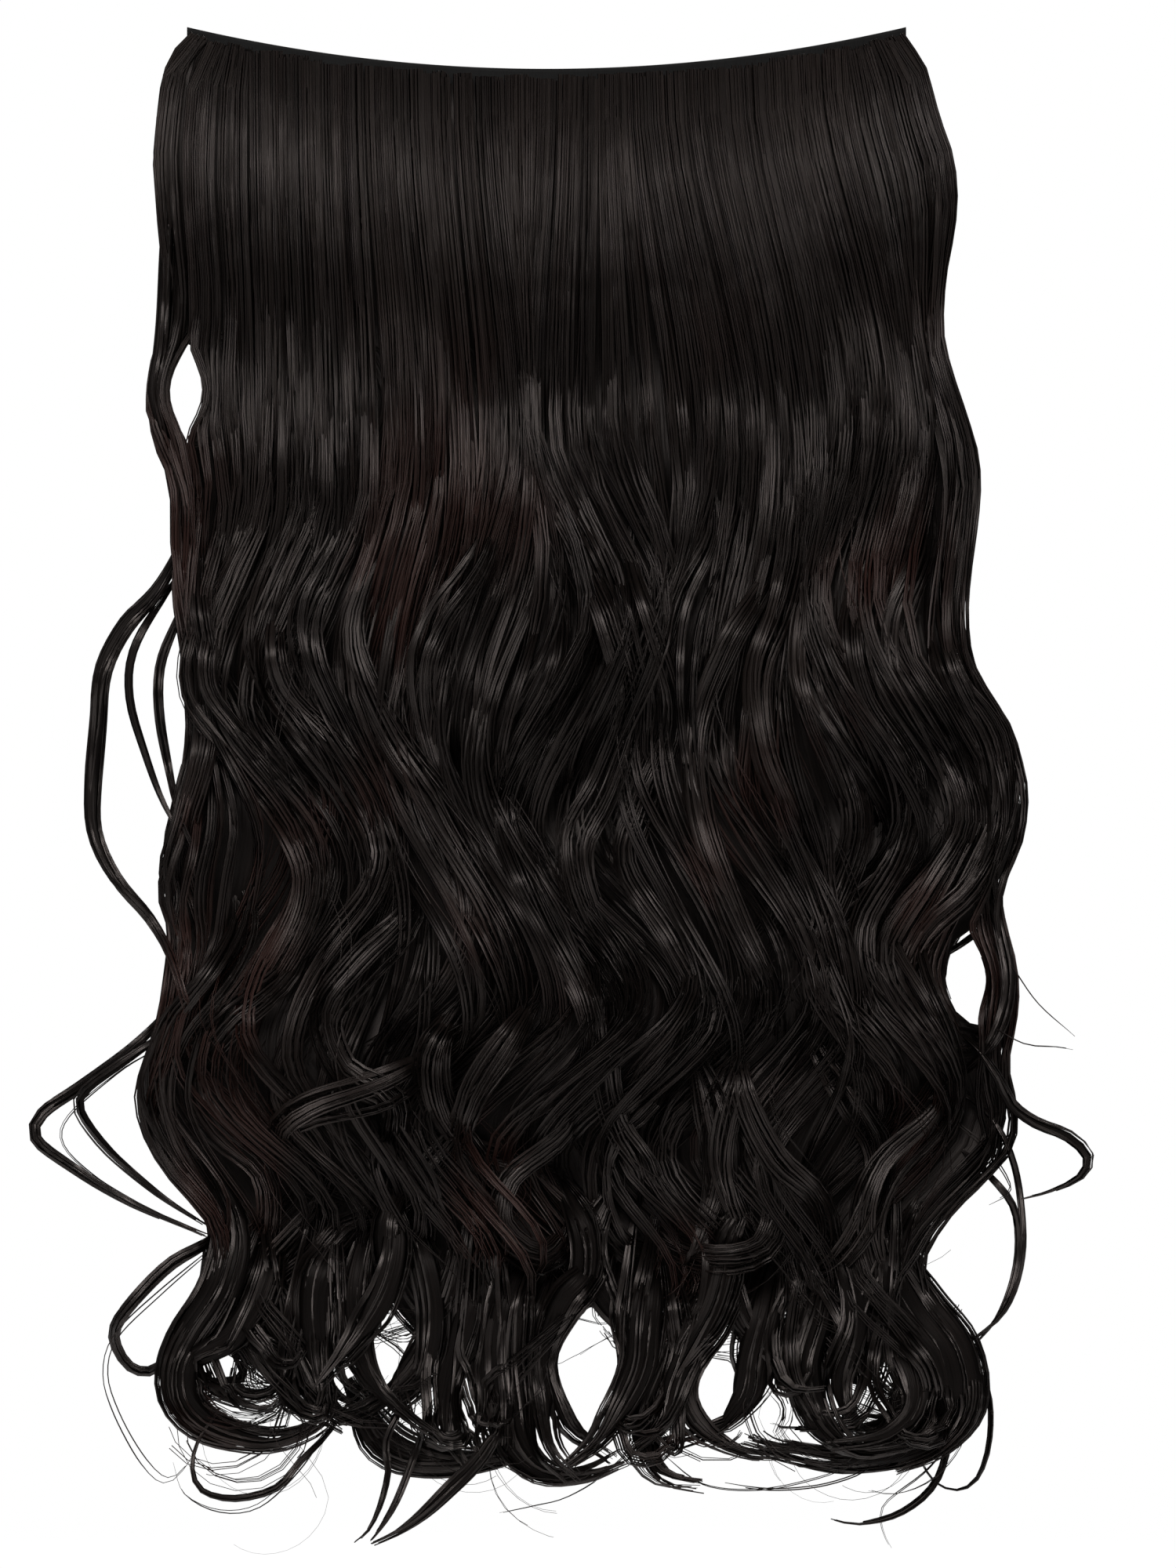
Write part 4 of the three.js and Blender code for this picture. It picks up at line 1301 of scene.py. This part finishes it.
# Its two skins lie between the row's inner face, at -1, and its outer one, at 1. Its lower edge is found
# from where its columns hang at this drop.
CORE_SKINS = (-0.8, -0.4)
COLUMNS_FOUND_AT = np.array(430.0)


def curtain_core(name, curtain, finish, ends_at, ragged):
    """The dark inside of a row in painted shade, which the strands lie on: one thin closed sheet from edge to
    edge.
    """
    upper = [np.linspace(*levels, endpoint=False) for levels in CORE_LEVELS]
    down = np.concatenate([*upper, np.linspace(*LAST_LEVELS)])
    roots = np.linspace(curtain.roots[0], curtain.roots[-1], CORE_COLUMNS)
    sides, drops = [], []
    for root in roots:
        first, second, share, _ = curtain.between(root)
        reaches = mix(first.middle(COLUMNS_FOUND_AT), second.middle(COLUMNS_FOUND_AT), share)
        uneven = ragged * math.sin(root / 2.9) * math.sin(root / 7.3)
        lowest = float(np.interp(reaches, *zip(*ends_at))) + uneven
        drop = mix(curtain.root_drop + 2.0, lowest, down)
        side = mix(first.side(drop), second.side(drop), share)
        inset = 0.7 * smooth_step(drop, 0.0, 60.0) + 2.4 * smooth_step(drop, 300.0, 420.0)
        for place, level, half_width, half_height in GAPS[:SIDE_GAPS]:
            opened = opened_at(drop, level, half_height)
            outermost = curtain.locks[0 if place < 0.0 else -1].side(drop)
            clear = np.abs(outermost) - abs(place) + half_width * opened + 0.5
            inset = np.maximum(inset, clear * smooth_step(opened, 0.0, 0.1) * (place * root > 0.0))
        sides.append(side - inset * root / curtain.roots[-1])
        drops.append(drop)
    side, drop = np.array(sides).T, np.array(drops).T
    skins = []
    for outward in CORE_SKINS:
        depth = row_depth(drop, outward, -1.0 + 0.0 * drop)
        skin = np.stack([side, ROWS_PART_AT + curtain.facing * depth, -drop], axis=2)
        skin[..., 1] -= ripple(side, drop)
        skins.append(drape(skin))
    near, far = skins if curtain.facing == FRONT else reversed(skins)
    rings = np.concatenate([near, far[:, ::-1]], axis=1)
    around = 2 * CORE_COLUMNS
    faces = loft_faces(len(down), around, caps=False)
    last, base = around - 1, (len(down) - 1) * around
    for i in range(CORE_COLUMNS - 1):
        faces.append((last - i, last - i - 1, i + 1, i))
        faces.append((base + i, base + i + 1, base + last - i - 1, base + last - i))
    combed = np.stack([np.tile(roots, (len(down), 1)), drop, 0.0 * drop], axis=2)
    combed = np.concatenate([combed, combed[:, ::-1] + (500.0, 0.0, 0.0)], axis=1)
    return comb(mesh_piece(name, rings.reshape(-1, 3) * MM, faces, finish), combed)


def lock_cores(name, locks, finish):
    """The insides of several locks as one piece."""
    places, combed, faces = [], [], []
    for number, lock in enumerate(locks):
        rings, along = lock.core()
        faces += loft_faces(rings.shape[0], rings.shape[1], sum(map(len, places)))
        places.append(rings.reshape(-1, 3))
        combed.append((along + (60.0 * number, 0.0, 0.0)).reshape(-1, 3))
    return comb(mesh_piece(name, np.concatenate(places), faces, finish), np.concatenate(combed))


def strand_pieces(names, lines, strands, finish, node, width=1.0, frizz=1.0, late_start=0.0):
    """Strands along wisps, split across the width into pieces of about the same size."""
    hair = bpy.context.scene.hair_fibre
    tree, sockets = strand_tree()
    lines = sorted(lines, key=lambda line: line["place"][0, 0])
    for number, part in enumerate(np.array_split(np.arange(len(lines)), len(names))):
        guides = guide_object("wisps", [lines[i] for i in part])
        values = {
            "Strands": strands,
            "Width": width * hair.strand_width,
            "Late start": late_start,
            "Early end": hair.early_end,
            "Roundness": hair.roundness,
            "Frizz": frizz * hair.frizz,
            "Seed": hair.seed + 20 * number,
            "Finish": finish,
        }
        settle(grown(names[number], guides, tree, sockets, values), "hair", node)


class HAIR_OT_weft_band(Operator):
    """Build the sewn band that the hair hangs from, with its rows of stitches"""

    bl_idname = "hair_extension.weft_band"
    bl_label = "Weft band"
    lower_seam, upper_seam = 1.7, 1.9

    def execute(self, context):
        band = context.scene.hair_band
        hem = band.thickness / MM / 2.0
        low, high = -band.height / MM / 2.0, band.height / MM / 2.0
        arc = np.radians(np.linspace(0.0, 180.0, 9))
        section = [(-2.0 * hem, low), (0.0, low)]
        section += [(-hem + hem * math.cos(turn), high - hem + hem * math.sin(turn)) for turn in arc]
        along = np.linspace(-band.width / MM / 2.0, band.width / MM / 2.0, 97)
        rings = np.array([[(across, depth, height) for depth, height in section] for across in along])
        places = drape(rings).reshape(-1, 3) * MM
        faces = loft_faces(len(along), len(section))
        piece = mesh_piece("weft_band_webbing", places, faces, webbing_finish(band), smooth=False)
        settle(piece, "band", "weft_band")
        tree, names = stitch_tree()
        values = {"Pitch": band.stitch_pitch, "Width": band.stitch_width, "Finish": thread_finish(band)}
        seam = along[1:-1]
        levels = (low + self.lower_seam, high - self.upper_seam)
        rows = [np.stack([seam, 0.0 * seam, 0.0 * seam + level], axis=1) for level in levels]
        lines = [{"place": drape(row) * MM, "run": seam * MM} for row in rows]
        stitches = grown("weft_band_stitches", guide_object("seams", lines), tree, names, values)
        settle(stitches, "band", "weft_band")
        return {"FINISHED"}


class HAIR_OT_front_row(Operator):
    """Build the row of hair that shows: its dark inside, its strands, its locks and its stray hairs"""

    bl_idname = "hair_extension.front_row"
    bl_label = "Front row of hair"

    def execute(self, context):
        hair = context.scene.hair_fibre
        chance = np.random.default_rng(hair.seed)
        curtain = Curtain(FRONT)
        # The dark inside is painted shade.
        inside = shadow_finish(hair, "hair_inside_front_painted_shade", painted_shading=1.0)
        core = curtain_core("front_core", curtain, inside, FRONT_INSIDE_EDGE, ragged=8.0)
        settle(core, "hair", "hair_front_row")
        # Copies of one hair with painted light and shade: the hair beneath and the curled ends darker, the
        # locks on top lighter.
        straight = hair_finish(hair, "hair_front_straight", painted_shading=1.0, gloss=0.44)
        under_painted_shade = hair_finish(hair, "hair_front_under_painted_shade", painted_shading=0.8, gloss=0.38)
        over = hair_finish(hair, "hair_front_over_painted_light", painted_shading=1.2, gloss=0.6, rough=0.25)
        curled_painted_shade = hair_finish(hair, "hair_front_ends_painted_shade", painted_shading=0.42, gloss=0.64, rough=0.2)

        def grow(names, lines, finish, strands=hair.strands, **shape):
            strand_pieces(names, lines, strands, finish, "hair_front_row", **shape)

        def hung(kind, count):
            return [kind(root, chance) for root in curtain.roots_for(count, chance)]

        def traced(rows, free, spacing):
            return [line for row in rows for line in TracedLock(row, chance, free, spacing).wisps(chance)]

        def wisps_of(locks):
            return [line for lock in locks for line in lock.wisps(chance)]

        edge_roots = [side * root for side in (LEFT, RIGHT) for root in EDGE_ROOTS]
        long = hung(curtain.wisp, hair.wisps_long)
        long += [curtain.wisp(root, chance) for root in edge_roots]
        surface = traced(SURFACE_LOCKS, free=False, spacing=5.8)
        ends = [TracedLock(row, chance, free=True, spacing=4.5) for row in (*END_LOCKS, *LOOSE_LOCKS)]
        lower = curtain.lower_wisps(hair.wisps_lower, [*long, *surface], chance)
        upper = hung(curtain.upper_wisp, hair.wisps_upper)
        grow(["front_long_left", "front_long_right"], long, under_painted_shade)
        grow(["front_upper"], upper, straight, hair.strands_fine, width=0.74)
        grow(["front_lower"], lower, under_painted_shade, late_start=0.2)
        grow(["front_locks_left", "front_locks_right"], surface, over, late_start=0.14)
        names = ["front_ends_left", "front_ends_right"]
        grow(names, wisps_of(ends), curled_painted_shade, hair.strands + 1, width=1.3, frizz=1.2)
        # The insides of the end locks are painted in darker shade.
        within = shadow_finish(hair, "hair_inside_ends_painted_shade", painted_shading=0.4)
        settle(lock_cores("front_end_cores", ends, within), "hair", "hair_front_row")
        tufts = [TracedLock(row, chance, free=True, spacing=5.0) for row in tuft_rows(chance)]
        grow(["front_tufts"], wisps_of(tufts), curled_painted_shade, hair.strands - 1, width=1.2, frizz=1.3)
        stray = traced(STRAY_HAIRS, free=True, spacing=3.5)
        stray_roots = 0.88 * curtain.roots_for(hair.wisps_stray, chance)
        stray += [curtain.wisp(root, chance, loose=2.5) for root in stray_roots]
        grow(["front_stray"], stray, under_painted_shade, hair.strands_stray, width=0.48, frizz=3.0)
        return {"FINISHED"}


class HAIR_OT_back_row(Operator):
    """Build the row of hair behind: its dark inside and its strands"""

    bl_idname = "hair_extension.back_row"
    bl_label = "Back row of hair"

    def execute(self, context):
        hair = context.scene.hair_fibre
        chance = np.random.default_rng(hair.seed + 100)
        curtain = Curtain(BACK)
        # The dark inside is painted shade.
        inside = shadow_finish(hair, "hair_inside_back_painted_shade", painted_shading=1.0)
        core = curtain_core("back_core", curtain, inside, BACK_INSIDE_EDGE, ragged=16.0)
        settle(core, "hair", "hair_back_row")
        finish = hair_finish(hair, "hair_back", painted_shading=0.9, gloss=0.42)

        def grow(name, lines, strands=hair.strands_back, **shape):
            strand_pieces([name], lines, strands, finish, "hair_back_row", **shape)

        long = [curtain.wisp(root, chance) for root in curtain.roots_for(hair.wisps_back, chance)]
        upper = [curtain.upper_wisp(root, chance) for root in curtain.roots_for(hair.wisps_back, chance)]
        lower = curtain.lower_wisps(round(1.35 * hair.wisps_back), long, chance)
        grow("back_long", long, width=1.1)
        grow("back_upper", upper, hair.strands_back + 1)
        grow("back_lower", lower, width=1.1, late_start=0.2)
        return {"FINISHED"}


class HAIR_OT_snap_clips(Operator):
    """Dress the snap clips on the band's back"""

    bl_idname = "hair_extension.snap_clips"
    bl_label = "Snap clips"

    def execute(self, context):
        clips = context.scene.hair_clips
        finish = enamel_finish(clips)
        for number in range(clips.count):
            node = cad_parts[f"snap_clip_{number + 1}"]
            node.data.materials.clear()
            node.data.materials.append(finish)
        return {"FINISHED"}


# Lamps of the studio: name, place, size, power, the place that it points at
LAMPS = (
    ("key", (-0.3, -1.5, 1.0), 1.1, 23.0, (0.0, 0.0, -0.2)),
    ("fill_left", (-1.3, -1.0, 0.8), 1.0, 3.5, (0.0, 0.0, -0.25)),
    ("fill_right", (1.3, -1.0, 0.8), 1.0, 3.5, (0.0, 0.0, -0.25)),
    ("rear", (0.3, 1.6, 0.9), 1.2, 22.0, (0.0, 0.0, -0.2)),
)


class HAIR_OT_studio(Operator):
    """Set the camera, the pale floor and the soft lights"""

    bl_idname = "hair_extension.studio"
    bl_label = "Studio"
    sensor = 36.0
    floor_sides = 64
    light_on_object, light_in_view = 0.16, 1.0

    def execute(self, context):
        stage = context.scene.hair_stage
        lens = bpy.data.cameras.new("studio_camera")
        lens.sensor_width = self.sensor
        lens.lens = self.sensor * stage.distance / stage.view_height
        lens.clip_end = 100.0
        camera = bpy.data.objects.new("studio_camera", lens)
        camera.location = (stage.view_side, -stage.distance, -stage.view_drop)
        camera.rotation_euler = (math.pi / 2, 0.0, 0.0)
        context.collection.objects.link(camera)
        context.scene.camera = camera
        self.floor(stage)
        self.lights()
        self.background(context)
        context.scene.view_settings.view_transform = "Standard"
        return {"FINISHED"}

    def floor(self, stage):
        """A round pale floor that fades out into the background."""
        material, graph, dress = new_finish("studio_paper")
        place = object_place(graph)
        distance = graph.vector("LENGTH", place, output="Value")
        seen = graph.add("ShaderNodeLightPath")["Is Camera Ray"]
        dress(
            Base_Color=colour(stage.paper),
            Roughness=0.9,
            Specular_IOR_Level=0.1,
            Alpha=1.0 - distance.step(0.35, 0.95),
            Emission_Color=blend_colour(graph, seen, (0.0, 0.0, 0.0, 1.0), colour(stage.paper)),
            Emission_Strength=0.55,
        )
        ring = np.linspace(0.0, 2.0 * np.pi, self.floor_sides, endpoint=False)
        places = np.stack([np.cos(ring), np.sin(ring), 0.0 * ring], axis=1)
        floor = mesh_piece("studio_floor", places, [tuple(range(self.floor_sides))], material, smooth=False)
        floor.location.z = -stage.floor_drop

    def lights(self):
        """Large soft lamps: above in front, to both sides, and behind."""
        for name, place, size, power, aim in LAMPS:
            lamp = bpy.data.lights.new(name, "AREA")
            lamp.size, lamp.energy = size, power
            holder = bpy.data.objects.new(name, lamp)
            holder.location = place
            across, ahead, up = np.array(aim) - np.array(place)
            tip = math.atan2(math.hypot(across, ahead), -up)
            holder.rotation_euler = (tip, 0.0, math.atan2(-across, ahead))
            bpy.context.collection.objects.link(holder)

    def background(self, context):
        """White to look at, and a dimmer even light on the object."""
        world = bpy.data.worlds.new("studio")
        context.scene.world = world
        world.use_nodes = True
        world.node_tree.nodes.clear()
        graph = Graph(world.node_tree)
        seen = graph.add("ShaderNodeLightPath")["Is Camera Ray"]

        def white(strength):
            sockets = {"Color": (1.0, 1.0, 1.0, 1.0), "Strength": strength}
            return graph.add("ShaderNodeBackground", None, sockets)["Background"]

        dim, bright = white(self.light_on_object), white(self.light_in_view)
        sky = graph.add("ShaderNodeMixShader", None, {"Fac": seen, 1: dim, 2: bright})["Shader"]
        graph.add("ShaderNodeOutputWorld", None, {"Surface": sky})


class HAIR_PT_sidebar(Panel):
    """Lists the settings and the pieces in the 3D view's sidebar"""

    bl_label = "Hair extension"
    bl_idname = "HAIR_PT_sidebar"
    bl_space_type = "VIEW_3D"
    bl_region_type = "UI"
    bl_category = "Hair extension"

    def draw(self, context):
        for operator in OPERATORS:
            self.layout.operator(operator.bl_idname)
        for group in GROUPS:
            box = self.layout.box()
            settings = getattr(context.scene, group)
            for name in settings.bl_rna.properties.keys():
                if name not in {"rna_type", "name"}:
                    box.prop(settings, name)


GROUPS = {
    "hair_band": BandSettings,
    "hair_fibre": HairSettings,
    "hair_clips": ClipSettings,
    "hair_stage": StageSettings,
}
OPERATORS = (HAIR_OT_weft_band, HAIR_OT_front_row, HAIR_OT_back_row, HAIR_OT_snap_clips, HAIR_OT_studio)


def register():
    for group in GROUPS.values():
        bpy.utils.register_class(group)
    for name, group in GROUPS.items():
        setattr(bpy.types.Scene, name, PointerProperty(type=group))
    for item in (*OPERATORS, HAIR_PT_sidebar):
        bpy.utils.register_class(item)


def unregister():
    for item in (HAIR_PT_sidebar, *reversed(OPERATORS)):
        bpy.utils.unregister_class(item)
    for name, group in GROUPS.items():
        delattr(bpy.types.Scene, name)
        bpy.utils.unregister_class(group)


def main():
    register()
    bpy.ops.hair_extension.weft_band()
    bpy.ops.hair_extension.front_row()
    bpy.ops.hair_extension.back_row()
    bpy.ops.hair_extension.snap_clips()
    bpy.ops.hair_extension.studio()


if __name__ == "__main__":
    main()
